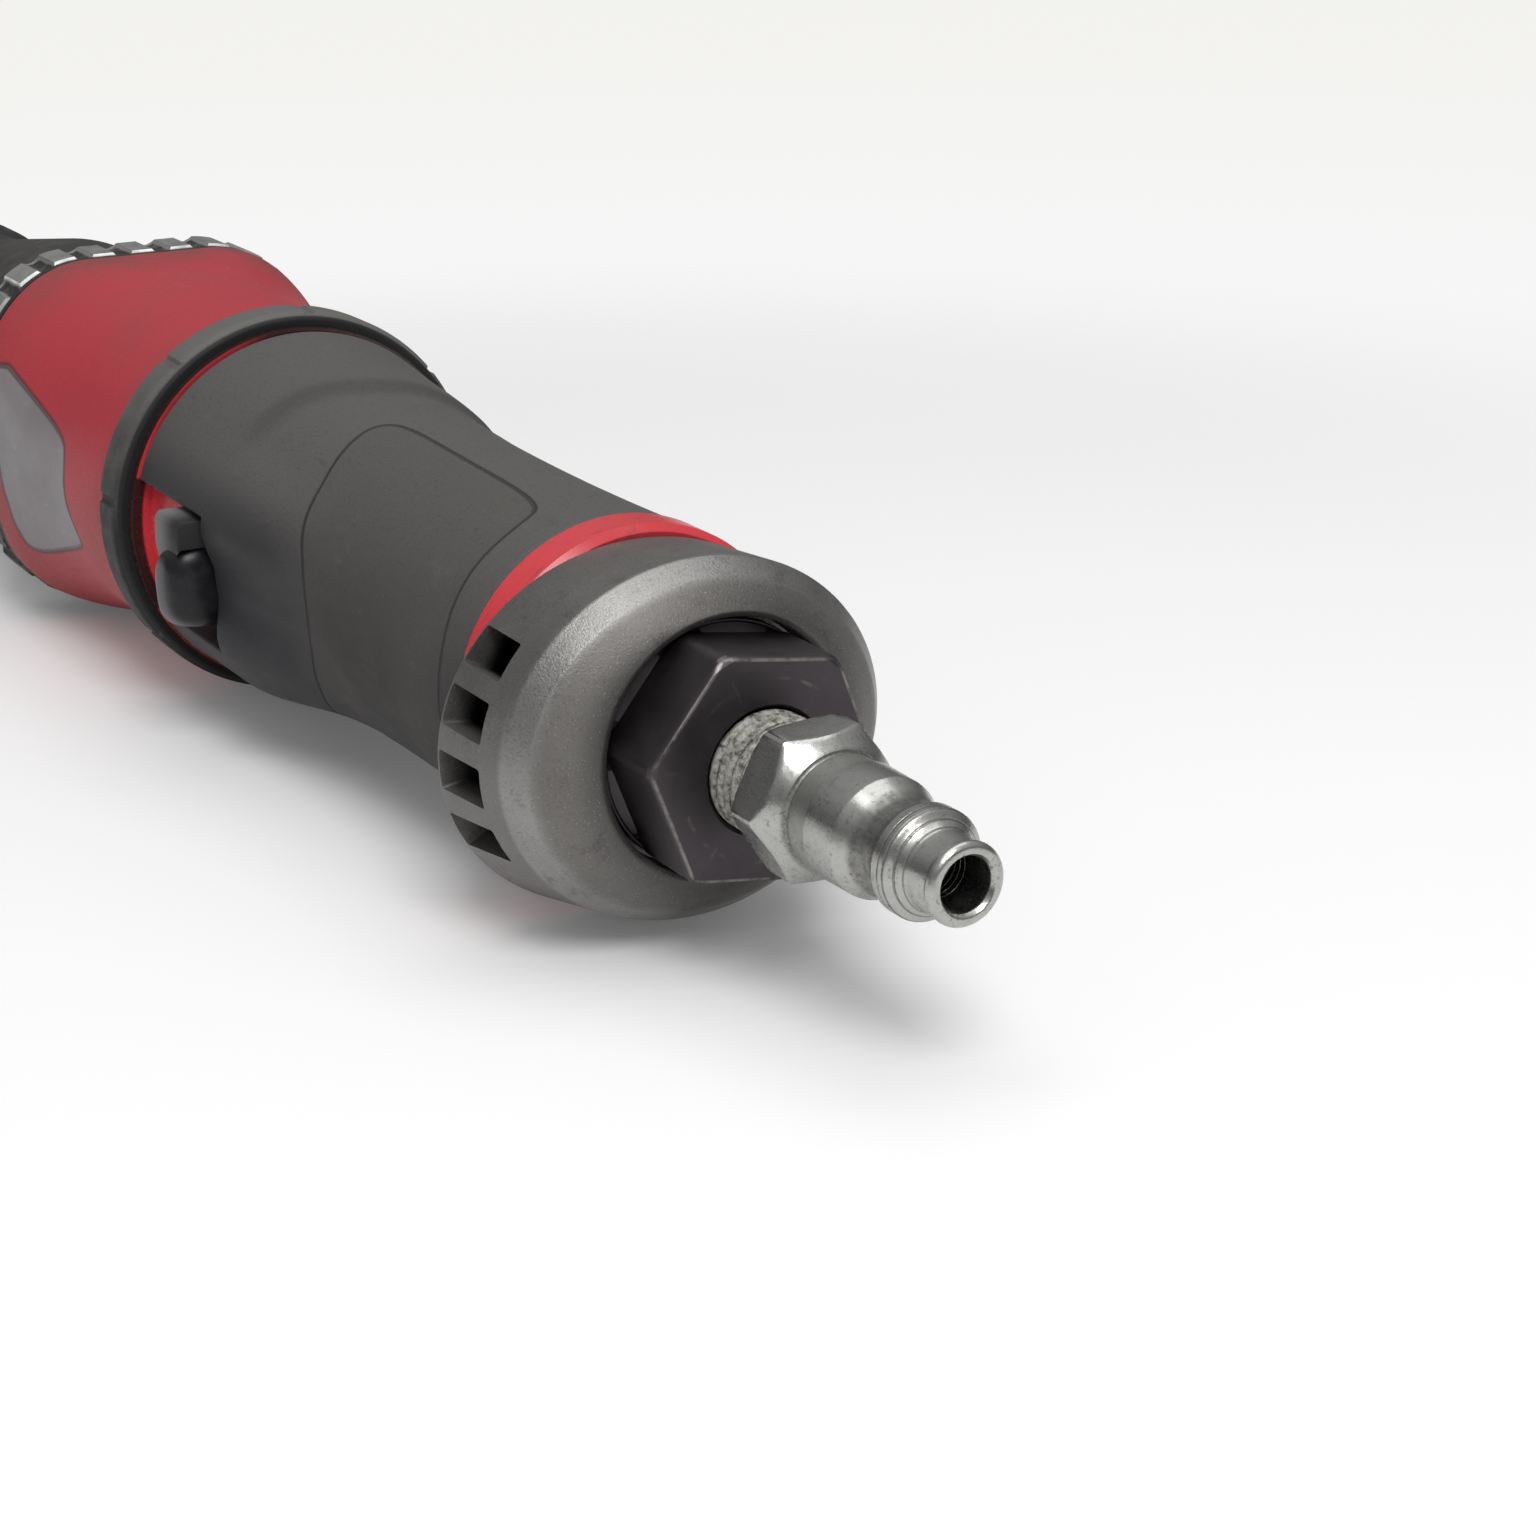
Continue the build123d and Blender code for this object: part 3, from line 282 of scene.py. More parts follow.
lamp_target = Vector((-0.2, 0, 0))
for lamp_name, lamp_place, lamp_size, lamp_power in (
        ("softbox_over", Vector((-0.2, -0.15, 0.9)), 0.7, 2.2),
        ("softbox_camera", Vector((-0.78, 0.2, 0.72)), 0.4, 4.8),
        ("window_side", Vector((-0.17, 0.3, 0.86)), 0.26, 0.6)):
    lamp_data = bpy.data.lights.new(lamp_name, "AREA")
    lamp_data.shape = "SQUARE"
    lamp_data.size = lamp_size
    lamp_data.energy = lamp_power
    lamp = bpy.data.objects.new(lamp_name, lamp_data)
    scene.collection.objects.link(lamp)
    lamp.location = lamp_place
    lamp.rotation_euler = (lamp_target - lamp_place).to_track_quat("-Z", "Y").to_euler()


# Turned and ground steel inside the tool: rotor, hammers, cage, pins, screws, springs and bearings.
# The parts are bare steel with fine turning marks and a thin film of oil that darkens it in patches.
steel_bare = (0.55, 0.545, 0.53)
steel_oiled = (0.36, 0.35, 0.33)
turned_steel = Finish("turned_steel", 1.0)
steel_marks = turned_steel.place.stretched((12.0, 1.0, 1.0)).noise(1.2, 4.0)
steel_film = turned_steel.place.noise(9.0, 4.0).step(0.42, 0.7)
turned_steel.feed("Base Color", steel_film.blend(steel_bare, steel_oiled))
turned_steel.feed("Roughness", 0.24 + 0.16 * steel_marks + 0.1 * steel_film)
turned_steel.relief(steel_marks, depth_mm=0.01)
turned_steel.dress("inlet_screen", "trigger_pin", "throttle_rod", "throttle_spring", "reverse_pin",
                   "detent_ball", "detent_spring", "handle_screws", "rear_bearing", "motor_dowel", "rotor",
                   "front_bearing", "hammer_cage", "hammer_pins", "rear_hammer", "front_hammer")


# Throttle spring: a coil of spring steel behind the throttle valve. It stands on the brass plug at its outer
# end and shortens by the trigger's travel. It is drawn as a piece of its own, copied from the solid model's
# coil.
merge_reach = 1e-6
spring_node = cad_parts["throttle_spring"]
spring_mesh = spring_node.data.copy()
spring_build = bmesh.new()
spring_build.from_mesh(spring_mesh)
bmesh.ops.remove_doubles(spring_build, verts=spring_build.verts, dist=merge_reach)
spring_build.to_mesh(spring_mesh)
spring_build.free()
spring_piece = bpy.data.objects.new("throttle_spring_coil", spring_mesh)
scene.collection.objects.link(spring_piece)
spring_places = np.array([vertex.co for vertex in spring_mesh.vertices])
spring_foot = spring_places.mean(axis=0)
spring_foot[1] = spring_places[:, 1].min()
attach(spring_piece, "body")
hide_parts("throttle_spring")
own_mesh(spring_piece)


# Cast iron end plates and cylinder of the vane motor, ground on their faces.
# The iron is darker than the steel, with open grain.
iron_dark = (0.24, 0.24, 0.235)
iron_light = (0.36, 0.355, 0.35)
ground_iron = Finish("ground_iron", 1.0)
iron_grain = ground_iron.place.noise(0.5, 5.0)
ground_iron.two_tone(iron_grain, iron_dark, iron_light, roughness=0.38, change=0.22)
ground_iron.relief(iron_grain, depth_mm=0.02)
ground_iron.dress("rear_end_plate", "front_end_plate", "motor_cylinder")


# Small fittings of the air ways: sintered bronze bushes and seat, a brass plug, plastic valves and rubber
# seals. The vanes are cut from brown laminated sheet, and the silencer is a sleeve of pressed felt.
bronze_dark = (0.33, 0.2, 0.09)
bronze_light = (0.6, 0.4, 0.2)
bush_bronze = Finish("bush_bronze", 1.0)
bronze_pores = bush_bronze.place.noise(0.35, 4.0)
bush_bronze.two_tone(bronze_pores, bronze_dark, bronze_light, roughness=0.3, change=0.25)
bush_bronze.relief(bronze_pores, depth_mm=0.02)
bush_bronze.dress("throttle_bush", "valve_seat", "nose_bushing", "throttle_plug")

nylon_cream = (0.7, 0.68, 0.62)
nylon_white = (0.82, 0.81, 0.77)
valve_nylon = Finish("valve_nylon")
valve_nylon.two_tone(valve_nylon.place.noise(3.0), nylon_cream, nylon_white, roughness=0.4, change=0.15)
valve_nylon.dress("throttle_valve", "reverse_valve")

vane_dark = (0.14, 0.08, 0.04)
vane_light = (0.28, 0.17, 0.09)
vane_sheet = Finish("vane_sheet")
vane_layers = vane_sheet.place.stretched((0.2, 1.0, 1.0)).noise(0.3, 2.0)
vane_sheet.two_tone(vane_layers, vane_dark, vane_light, roughness=0.5, change=0.15)
vane_sheet.dress("rotor_vanes")

felt_dark = (0.03, 0.029, 0.028)
felt_grey = (0.1, 0.096, 0.09)
pressed_felt = Finish("pressed_felt")
felt_fibre = pressed_felt.place.noise(0.25, 6.0, 0.75)
pressed_felt.feed("Base Color", felt_fibre.blend(felt_dark, felt_grey))
pressed_felt.feed("Roughness", 0.95)
pressed_felt.relief(felt_fibre, depth_mm=0.15)
pressed_felt.dress("silencer")

seal_black = (0.012, 0.012, 0.012)
seal_grey = (0.05, 0.048, 0.045)
seal_rubber = Finish("seal_rubber")
seal_dust = seal_rubber.place.noise(1.6, 5.0).step(0.5, 0.8)
seal_rubber.two_tone(seal_dust, seal_black, seal_grey, roughness=0.55, change=0.25)
seal_rubber.dress("inlet_o_ring", "clamp_seal", "nose_seal", "socket_o_ring")


# Motor housing: a red moulded shell, round at the rear and swollen to a rounded square where it meets the
# clamp. A thin plain plate lies on the trigger's side. The satin skin is rubbed pale in places and grimy at
# the joints.
usual_sharp = 35.0


def shade_smooth(mesh, sharp_degrees):
    """Smooth shading, broken only at edges that are sharper than the angle."""
    mesh.polygons.foreach_set("use_smooth", [True] * len(mesh.polygons))
    mesh.set_sharp_from_angle(angle=math.radians(sharp_degrees))


def new_piece(name, points, faces, finish, sharp_degrees=usual_sharp):
    """Mesh object in the tool's own frame from points in mm, with its faces turned outwards."""
    mesh = bpy.data.meshes.new(name)
    mesh.from_pydata([tuple(point) for point in np.asarray(points) * MM], [], faces)
    build = bmesh.new()
    build.from_mesh(mesh)
    bmesh.ops.remove_doubles(build, verts=build.verts, dist=merge_reach)
    bmesh.ops.recalc_face_normals(build, faces=build.faces)
    build.to_mesh(mesh)
    build.free()
    shade_smooth(mesh, sharp_degrees)
    mesh.materials.append(finish.material)
    piece = bpy.data.objects.new(name, mesh)
    scene.collection.objects.link(piece)
    return piece


def even_turns(count):
    """Angles that divide a whole turn evenly."""
    return np.linspace(0, FULL_TURN, count + 1)[:-1]


def round_ring(x, radius, turns):
    return np.column_stack([np.full(len(turns), x), radius * np.cos(turns), radius * np.sin(turns)])


def ring_shell(rings, closed_around=True):
    """Points and faces of a shell through rings of points, which closes from the last ring to the first."""
    rings = np.asarray(rings)
    count, around = rings.shape[:2]
    faces = []
    for ring in range(count):
        here = ring * around
        following = (ring + 1) % count * around
        for step in range(around if closed_around else around - 1):
            beside = (step + 1) % around
            faces.append([here + step, here + beside, following + beside, following + step])
    return rings.reshape(-1, 3), faces


def square_reach(turns, half, corner):
    """Distance from the axis to a rounded square, by angle."""
    across = np.abs(np.cos(turns))
    upright = np.abs(np.sin(turns))
    centre = half - corner
    along = (across + upright) * centre
    arc = along + np.sqrt(np.maximum(along ** 2 - 2 * centre ** 2 + corner ** 2, 0))
    on_side = upright * half <= across * centre
    on_top = across * half <= upright * centre
    return np.where(on_side | on_top, half / np.where(on_side, across, upright), arc)


housing_rear = -147.35
housing_front = -101.2
housing_waist = 24.2
housing_half = 25.2
housing_corner = 16.3
housing_melt = 0.4
housing_stations = 90
rear_opening = 21.7
front_opening = 22.9
rear_rounding = ((0, 0.7), (0.2, 0.25), (0.7, 0))
front_rounding = ((0.3, 0.05), (0.08, 0.2), (0, 0.5))
flare_start = -130.0
flare_rise = 5.2
flare_bend = ((housing_front - flare_start) ** 2 + flare_rise ** 2) / (2 * flare_rise)
housing_turns = even_turns(360)


def housing_ring(x, inset):
    """Ring of points on the housing's skin, or under it by the inset."""
    along = max(x - flare_start, 0)
    flare = housing_waist + flare_bend - math.sqrt(flare_bend ** 2 - along ** 2)
    square = square_reach(housing_turns, housing_half, housing_corner)
    nearer = np.minimum(flare, square)
    melted = np.exp((nearer - flare) / housing_melt) + np.exp((nearer - square) / housing_melt)
    return round_ring(x, nearer - housing_melt * np.log(melted) - inset, housing_turns)


housing_red = Finish("housing_red")
housing_rings = [round_ring(housing_rear, rear_opening, housing_turns)]
housing_rings += [housing_ring(housing_rear + x, inset) for x, inset in rear_rounding]
housing_rings += [housing_ring(x, 0)
                  for x in np.linspace(housing_rear + 1.2, housing_front - 0.7, housing_stations)]
housing_rings += [housing_ring(housing_front - x, inset) for x, inset in front_rounding]
housing_rings += [round_ring(housing_front, front_opening, housing_turns)]
housing_piece = new_piece("motor_housing_shell", *ring_shell(housing_rings), housing_red, sharp_degrees=50.0)


def outline_distance(points, corners):
    """Distance of points from a closed outline, less than 0 inside it."""
    nearest = np.full(len(points), np.inf)
    inside = np.zeros(len(points), bool)
    for start, end in zip(corners, np.roll(corners, -1, axis=0)):
        edge = end - start
        share = np.clip((points - start) @ edge / (edge @ edge), 0, 1)
        nearest = np.minimum(nearest, np.linalg.norm(points - start - share[:, None] * edge, axis=1))
        crosses = (start[1] > points[:, 1]) != (end[1] > points[:, 1])
        with np.errstate(divide="ignore", invalid="ignore"):
            at = start[0] + (points[:, 1] - start[1]) / (end[1] - start[1]) * edge[0]
        inside ^= crosses & (points[:, 0] < at)
    return np.where(inside, -nearest, nearest)


def rounded_outline(corners, rounds):
    """Closed outline with its corners cut again and again, until they are round."""
    for _ in range(rounds):
        after = np.roll(corners, -1, axis=0)
        cuts = [0.75 * corners + 0.25 * after, 0.25 * corners + 0.75 * after]
        corners = np.stack(cuts, axis=1).reshape(-1, 2)
    return corners


def stations_and_turns(piece):
    """Place along the axis in mm and angle round it in degrees of each point of a piece."""
    places = np.array([vertex.co for vertex in piece.data.vertices]) / MM
    return places[:, 0], np.degrees(np.arctan2(places[:, 2], places[:, 1]))


def mark(piece, name, values):
    """Keeps a number with each point of a piece, for the finish to read."""
    kept = piece.data.attributes.new(name, "FLOAT", "POINT")
    kept.data.foreach_set("value", values.astype(np.float32))


def mark_outline(piece, name, corners, radius, rounds):
    """Marks each point with its distance in mm from an outline that is given in stations and degrees."""
    scale = np.array([1.0, math.radians(1.0) * radius])
    places = np.stack(stations_and_turns(piece), axis=1) * scale
    mark(piece, name, outline_distance(places, rounded_outline(np.array(corners) * scale, rounds)))


plate_corners = [(-103.6, 31.0), (-116.5, 23.0), (-128.6, 16.0), (-130.2, 10.0), (-129.4, -4.0),
                 (-132.4, -17.0), (-130.4, -21.0), (-108.9, -34.5), (-108.6, -20.0), (-103.6, -9.0)]
plate_radius = 25.0
mark_outline(housing_piece, "plate_gap", plate_corners, plate_radius, 2)

red_deep = (0.38, 0.03, 0.042)
red_bright = (0.44, 0.038, 0.052)
red_rubbed = (0.52, 0.12, 0.12)
red_dirty = (0.16, 0.06, 0.052)
plate_dark = (0.17, 0.155, 0.16)
plate_light = (0.26, 0.24, 0.245)
plate_scuffed = (0.34, 0.32, 0.32)
plate_rim = (0.045, 0.03, 0.032)
red_cloud = housing_red.place.noise(14.0, 5.0)
red_fine = housing_red.place.noise(0.9, 4.0)
red_scuffs = housing_red.place.stretched((1.0, 3.0, 3.0)).noise(4.0, 6.0, 0.7).step(0.58, 0.72)
red_front = housing_red.along(housing_front - 14.8, housing_front - 0.8)
red_rear = housing_red.along(housing_rear + 7.35, housing_rear - 0.65)
red_crown = housing_red.z.step(14.0 * MM, 24.0 * MM) * housing_red.place.noise(6.0, 6.0, 0.7).step(0.35, 0.65)
red_grime = red_cloud.step(0.4, 0.75) * 0.3 + red_front.most(red_rear) * 0.25 + red_crown * red_front * 0.5
red_grime = red_grime * (0.55 + 0.6 * red_fine)
red_pale = red_scuffs * housing_red.place.noise(22.0).step(0.4, 0.7)
plate_gap = housing_red.attribute("plate_gap")
plate_inside = plate_gap.step(0.08, -0.08)
plate_border = plate_gap.size().step(0.62, 0.3)
plate_skin = housing_red.place.noise(5.0, 5.0).blend(plate_dark, plate_light)
plate_skin = plate_skin.under((red_scuffs * 0.4, plate_scuffed))
red_skin = red_cloud.blend(red_deep, red_bright)
red_skin = red_skin.under((red_pale * 0.35, red_rubbed), (red_grime.least(0.75), red_dirty),
                          (plate_inside, plate_skin), (plate_border * 0.7, plate_rim))
housing_red.feed("Base Color", red_skin)
housing_red.feed("Roughness", 0.42 + 0.16 * red_fine + 0.2 * red_grime - 0.1 * plate_inside)
housing_red.feed("Specular IOR Level", 0.32)
housing_red.relief(red_fine * 0.2 + plate_inside, depth_mm=0.12)
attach(housing_piece, "body")
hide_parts("motor_housing")


# Case clamp: a rounded square ring of plated steel with scalloped sides, which holds the hammer case to the
# motor housing. Its crests are knocked bright and it has patches of black grime. The notches of its scallops
# by the rear face are painted black, and its underside is darkened as painted shade.
clamp_bright = (0.6, 0.6, 0.585)
clamp_black = (0.035, 0.034, 0.032)
clamp_corner = 8.7 * MM
clamp_crest = 16.55 * MM
clamp_scallop = 0.45 * MM
clamp_face = -92.6
clamp_plate = Finish("clamp_plate", 1.0)
clamp_over = (clamp_plate.y.size() - clamp_corner).most(0.0)
clamp_up = (clamp_plate.z.size() - clamp_corner).most(0.0)
clamp_reach = (clamp_over * clamp_over + clamp_up * clamp_up) ** 0.5
# The notches of the scallops by the rear face are painted black.
clamp_hollow = clamp_reach.step(clamp_crest, clamp_crest - clamp_scallop)
clamp_hollow = clamp_hollow * clamp_plate.along(clamp_face, clamp_face - 0.6)
clamp_film = clamp_plate.place.noise(2.5, 5.0).step(0.35, 0.75)
# Painted shade: the underside of the clamp is darkened.
clamp_shade_below = clamp_plate.upward().step(0.0, -0.35)
clamp_grime_and_shade = (clamp_hollow * 0.9 + clamp_film * 0.35 + clamp_shade_below * 0.85).least(1.0)
clamp_plate.two_tone(clamp_grime_and_shade, clamp_bright, clamp_black, roughness=0.3, change=0.4)
clamp_plate.feed("Metallic", 1.0 - 0.6 * clamp_grime_and_shade)
clamp_plate.dress("case_clamp")


# Hammer case, an aluminium casting under a dull black coat, and the steel anvil that comes out of its nose.
# The anvil is black from heat treatment, and bright where sockets have rubbed the square.
case_black = (0.022, 0.021, 0.02)
case_dusty = (0.06, 0.056, 0.05)
case_bare = (0.34, 0.335, 0.32)
cast_case = Finish("cast_case")
cast_grain = cast_case.place.noise(0.45, 4.0)
cast_dust = cast_case.place.noise(9.0, 6.0, 0.65).step(0.42, 0.78)
cast_chip = cast_case.place.noise(1.4, 5.0, 0.7).step(0.7, 0.74)
cast_case.feed("Base Color", cast_dust.blend(case_black, case_dusty).under((cast_chip, case_bare)))
cast_case.feed("Metallic", cast_chip * 0.9)
cast_case.feed("Roughness", 0.44 + 0.2 * cast_grain)
cast_case.relief(cast_grain - cast_chip, depth_mm=0.04)
cast_case.dress("hammer_case")

anvil_oxide = (0.06, 0.057, 0.058)
anvil_bright = (0.4, 0.392, 0.376)
square_half = 6.3 * MM
square_fade = 0.5 * MM
anvil_black = Finish("anvil_black", 1.0)
anvil_flats = anvil_black.y.size().most(anvil_black.z.size()).step(square_half - square_fade, square_half)
anvil_patches = 0.25 + 0.55 * anvil_black.place.noise(2.6, 5.0).step(0.25, 0.75)
anvil_rub = anvil_flats * anvil_black.along(-1.0, 2.0) * anvil_patches
anvil_black.two_tone(anvil_rub, anvil_oxide, anvil_bright, roughness=0.46, change=-0.2)
anvil_black.dress("anvil", "socket_ring")


# Nose boot: a black rubber cup pressed over the nose of the case, to spare the work from knocks.
# It is dull and dusty, with the marks of its mould.
boot_black = (0.013, 0.013, 0.014)
boot_dusty = (0.055, 0.053, 0.05)
boot_rubber = Finish("boot_rubber")
boot_dust = boot_rubber.place.noise(2.2, 6.0, 0.65).step(0.48, 0.75)
boot_rubber.two_tone(boot_dust, boot_black, boot_dusty, roughness=0.6, change=0.2)
boot_rubber.relief(boot_rubber.place.noise(0.4, 3.0), depth_mm=0.04)
boot_rubber.dress("nose_boot")


# Handle housing: the red moulded core of the grip. It shows as a glossy band in front of the exhaust
# deflector, as a thin collar beside the reverse ring and round the trigger's pocket. Old grease smears it,
# and soot blackens the band's end inside the deflector. The collar in the gap behind the reverse ring and
# the inside of the trigger's pocket are darkened as painted shade.
handle_deep = (0.53, 0.032, 0.042)
handle_bright = (0.64, 0.045, 0.058)
handle_stained = (0.11, 0.022, 0.022)
handle_black = (0.022, 0.01, 0.01)
band_end = -247.9
pocket_front = -167.8
pocket_rear = -200.0
collar_rear = -157.5
collar_front = -156.2
collar_step = -155.7
collar_radius = 23.0
window_turns = (-0.48, 0.31)
handle_red = Finish("handle_red")
handle_cloud = handle_red.place.noise(7.0, 4.0)
handle_smear = handle_red.place.stretched((2.0, 1.0, 1.0)).noise(2.4, 5.0).step(0.55, 0.75)
handle_soot = handle_red.along(band_end, band_end - 0.6)
# Painted shade inside the trigger's pocket.
pocket_shade = handle_red.along(pocket_front, pocket_front - 0.6)
pocket_shade = pocket_shade * handle_red.along(pocket_rear, pocket_rear + 20.0)
handle_turn = handle_red.angle()
handle_side = handle_turn.size()
# Painted shade: the collar in the gap behind the reverse ring is darker away from the trigger's side, and
# black at its rim and face.
handle_collar = handle_red.along(collar_rear, collar_front)
collar_shade_by_angle = handle_collar * (handle_side.step(0.3, 0.75) * 0.45 + handle_side.step(1.15, 1.45) * 0.52)
collar_window = (handle_turn.step(window_turns[0], window_turns[0] + 0.02)
                 * handle_turn.step(window_turns[1], window_turns[1] - 0.02))
collar_rim = collar_window.most(handle_red.along(collar_step, collar_step + 0.3))
collar_rim = handle_red.outward(collar_radius, collar_radius + 0.3) * collar_rim
collar_face = (handle_red.outward(collar_radius - 0.7, collar_radius - 0.3)
               * handle_red.outward(collar_radius + 0.4, collar_radius + 0.2))
collar_gap_shade = handle_collar * collar_rim.most(collar_face) * 0.98
handle_shade_and_soot = collar_gap_shade.most(collar_shade_by_angle).most(pocket_shade * 0.9).most(handle_soot)
handle_skin = handle_cloud.blend(handle_deep, handle_bright)
handle_skin = handle_skin.under((handle_smear * 0.45, handle_stained), (handle_shade_and_soot, handle_black))
handle_red.feed("Base Color", handle_skin)
handle_red.feed("Roughness", 0.2 + 0.12 * handle_cloud + 0.2 * handle_smear)
handle_red.feed("Specular IOR Level", 0.45)
handle_red.dress("handle_housing")


# Grip: a sleeve of dark rubber moulded over the handle, open in front for the trigger. It rises to a guard
# behind the trigger, and its swell ends in a soft step on top. A fine groove outlines a panel on the
# trigger's side.
slim_middle = -220.9
slim_half = 20.9
slim_radius = 18.7
slim_rise = 0.3
hollow_start = -200
hollow_radius = 19.0
hollow_slope = 0.0287
hollow_bend = 0.002565
swell_start = -180
swell_radius = 20.6
swell_slope = 0.1313
swell_bend = 0.00045


def grip_radius(x):
    """Outer radius of the round part of the grip at a station, in mm."""
    slim = slim_radius + slim_rise * ((x - slim_middle) / slim_half) ** 2
    hollow = hollow_radius + hollow_slope * (x - hollow_start) + hollow_bend * (x - hollow_start) ** 2
    swell = swell_radius + swell_slope * (x - swell_start) - swell_bend * (x - swell_start) ** 2
    return np.where(x < hollow_start, slim, np.where(x < swell_start, hollow, swell))


def ease(value, low, high):
    """0 below low, 1 above high and smooth between."""
    share = np.clip((value - low) / (high - low), 0, 1)
    return share * share * (3 - 2 * share)


def settle(piece, sharp_degrees=usual_sharp):
    """Makes the modifiers of a piece part of its plain mesh."""
    shape = piece.evaluated_get(bpy.context.evaluated_depsgraph_get())
    mesh = bpy.data.meshes.new_from_object(shape)
    piece.modifiers.clear()
    piece.data = mesh
    shade_smooth(mesh, sharp_degrees)


def round_edges(piece, width_mm, degrees=40.0):
    """Rounds every edge that is sharper than the angle."""
    bevel = piece.modifiers.new("rounded_edges", "BEVEL")
    bevel.width = width_mm * MM
    bevel.segments = 3
    bevel.limit_method = "ANGLE"
    bevel.angle_limit = math.radians(degrees)
    bevel.harden_normals = False


grip_rear = -241.75
grip_front = -155.95
grip_wall = 1.95
window_rear = -177.5
window_low = -27.0
window_high = 16.8
window_columns = 35
window_rows = 28
rear_rows = 78
back_columns = 190
grip_stations = np.concatenate([np.linspace(grip_rear, window_rear, rear_rows),
                                np.linspace(window_rear, grip_front, window_rows)[1:]])
grip_angles = np.concatenate([np.linspace(window_low, window_high, window_columns + 1)[:-1],
                              np.linspace(window_high, window_low + 360, back_columns)[:-1]])
grip_x, grip_turn = np.meshgrid(grip_stations, grip_angles, indexing="ij")

guard_reach = 23.6
guard_start = -206.0
guard_low = (-62.0, -36.0)
guard_high = (-48.0, -22.0)
guard_middle = -5.0
guard_dip = (3.0, 22.0)
guard_least = 0.15
guard_along = ease(grip_x, guard_start, window_rear - 1.0)
guard_around = ease(grip_turn, *guard_low) * ease(-grip_turn, *guard_high)
guard_around = np.maximum(guard_around, ease(grip_turn - 360, *guard_low))
guard_fall = ease(np.abs(grip_turn - guard_middle), *guard_dip)
guard_around = guard_around * (guard_least + (1 - guard_least) * guard_fall)

crease_station = -176.0
crease_shift = 3.6
crease_height = 0.36
crease_half = 1.3
crease_bend = (64.0, 98.0)
crease_begin = (36.0, 60.0)
crease_end = (-230.0, -150.0)
crease_before = (-16.0, -2.0)
crease_behind = (-14.0, -1.0)


def crease_place(x, turn):
    """How far a place lies in front of the soft step, and how much of the step there is at its angle."""
    station = crease_station - crease_shift * ease(turn, *crease_bend)
    return x - station, ease(turn, *crease_begin) * ease(-turn, *crease_end)


crease_ahead, crease_share = crease_place(grip_x, grip_turn)
crease_front = ease(crease_ahead, -crease_half, crease_half)
crease_rise = (crease_front * ease(-crease_ahead, *crease_before)
               - (1 - crease_front) * ease(crease_ahead, *crease_behind)) * crease_share
grip_base = grip_radius(grip_x)
guard_rise = np.maximum(guard_reach - grip_base, 0) * guard_along * guard_around
grip_outer = grip_base + guard_rise + crease_height * crease_rise
grip_inner = grip_base - grip_wall
grip_cos = np.cos(np.radians(grip_turn))
grip_sin = np.sin(np.radians(grip_turn))
grip_points = np.concatenate([np.stack([grip_x, reach * grip_cos, reach * grip_sin], axis=-1).reshape(-1, 3)
                              for reach in (grip_outer, grip_inner)])
grip_rows, grip_columns = grip_x.shape
grip_skin = grip_rows * grip_columns


def grip_cell(row, column):
    """True where the sleeve has rubber: everywhere but in the trigger's window."""
    if row < 0 or row >= grip_rows - 1:
        return False
    in_window = grip_stations[row] >= window_rear - 0.01 and column % grip_columns < window_columns
    return not in_window


grip_faces = []
for row in range(grip_rows - 1):
    for column in range(grip_columns):
        if not grip_cell(row, column):
            continue
        after = (column + 1) % grip_columns
        here = row * grip_columns
        beyond = here + grip_columns
        corner = [here + column, here + after, beyond + after, beyond + column]
        grip_faces.append(corner)
        grip_faces.append([grip_skin + index for index in reversed(corner)])
        for beside, first, second in (((row - 1, column), 0, 1), ((row + 1, column), 2, 3),
                                      ((row, column + 1), 1, 2), ((row, column - 1), 3, 0)):
            if not grip_cell(*beside):
                edge = [corner[second], corner[first]]
                grip_faces.append(edge + [grip_skin + index for index in reversed(edge)])

grip_rubber = Finish("grip_rubber")
grip_piece = new_piece("grip_rubber_sleeve", grip_points, grip_faces, grip_rubber)
round_edges(grip_piece, width_mm=0.6)
settle(grip_piece, sharp_degrees=60.0)

panel_corners = [(-191.5, 66.0), (-196.0, 37.0), (-202.3, 6.0), (-200.6, -26.0), (-194.0, -62.0),
                 (-192.0, -84.0), (-233.5, -81.0), (-235.2, -60.0), (-236.8, -26.0), (-237.6, 6.0),
                 (-235.0, 40.0), (-235.0, 66.0), (-232.6, 80.5), (-206.0, 84.0), (-194.0, 84.0),
                 (-191.0, 77.0)]
panel_radius = 19.0
mark_outline(grip_piece, "panel_gap", panel_corners, panel_radius, 3)
seen_stations, seen_turns = stations_and_turns(grip_piece)
# Painted shade and dirt along the soft step, kept with each point of the sleeve.
crease_mark_shift = 0.4
crease_mark_width = 1.7
crease_ahead, crease_share = crease_place(seen_stations, seen_turns % 360)
mark(grip_piece, "crease_dirt_and_shade", crease_share * np.exp(-((crease_ahead - crease_mark_shift) / crease_mark_width) ** 2))

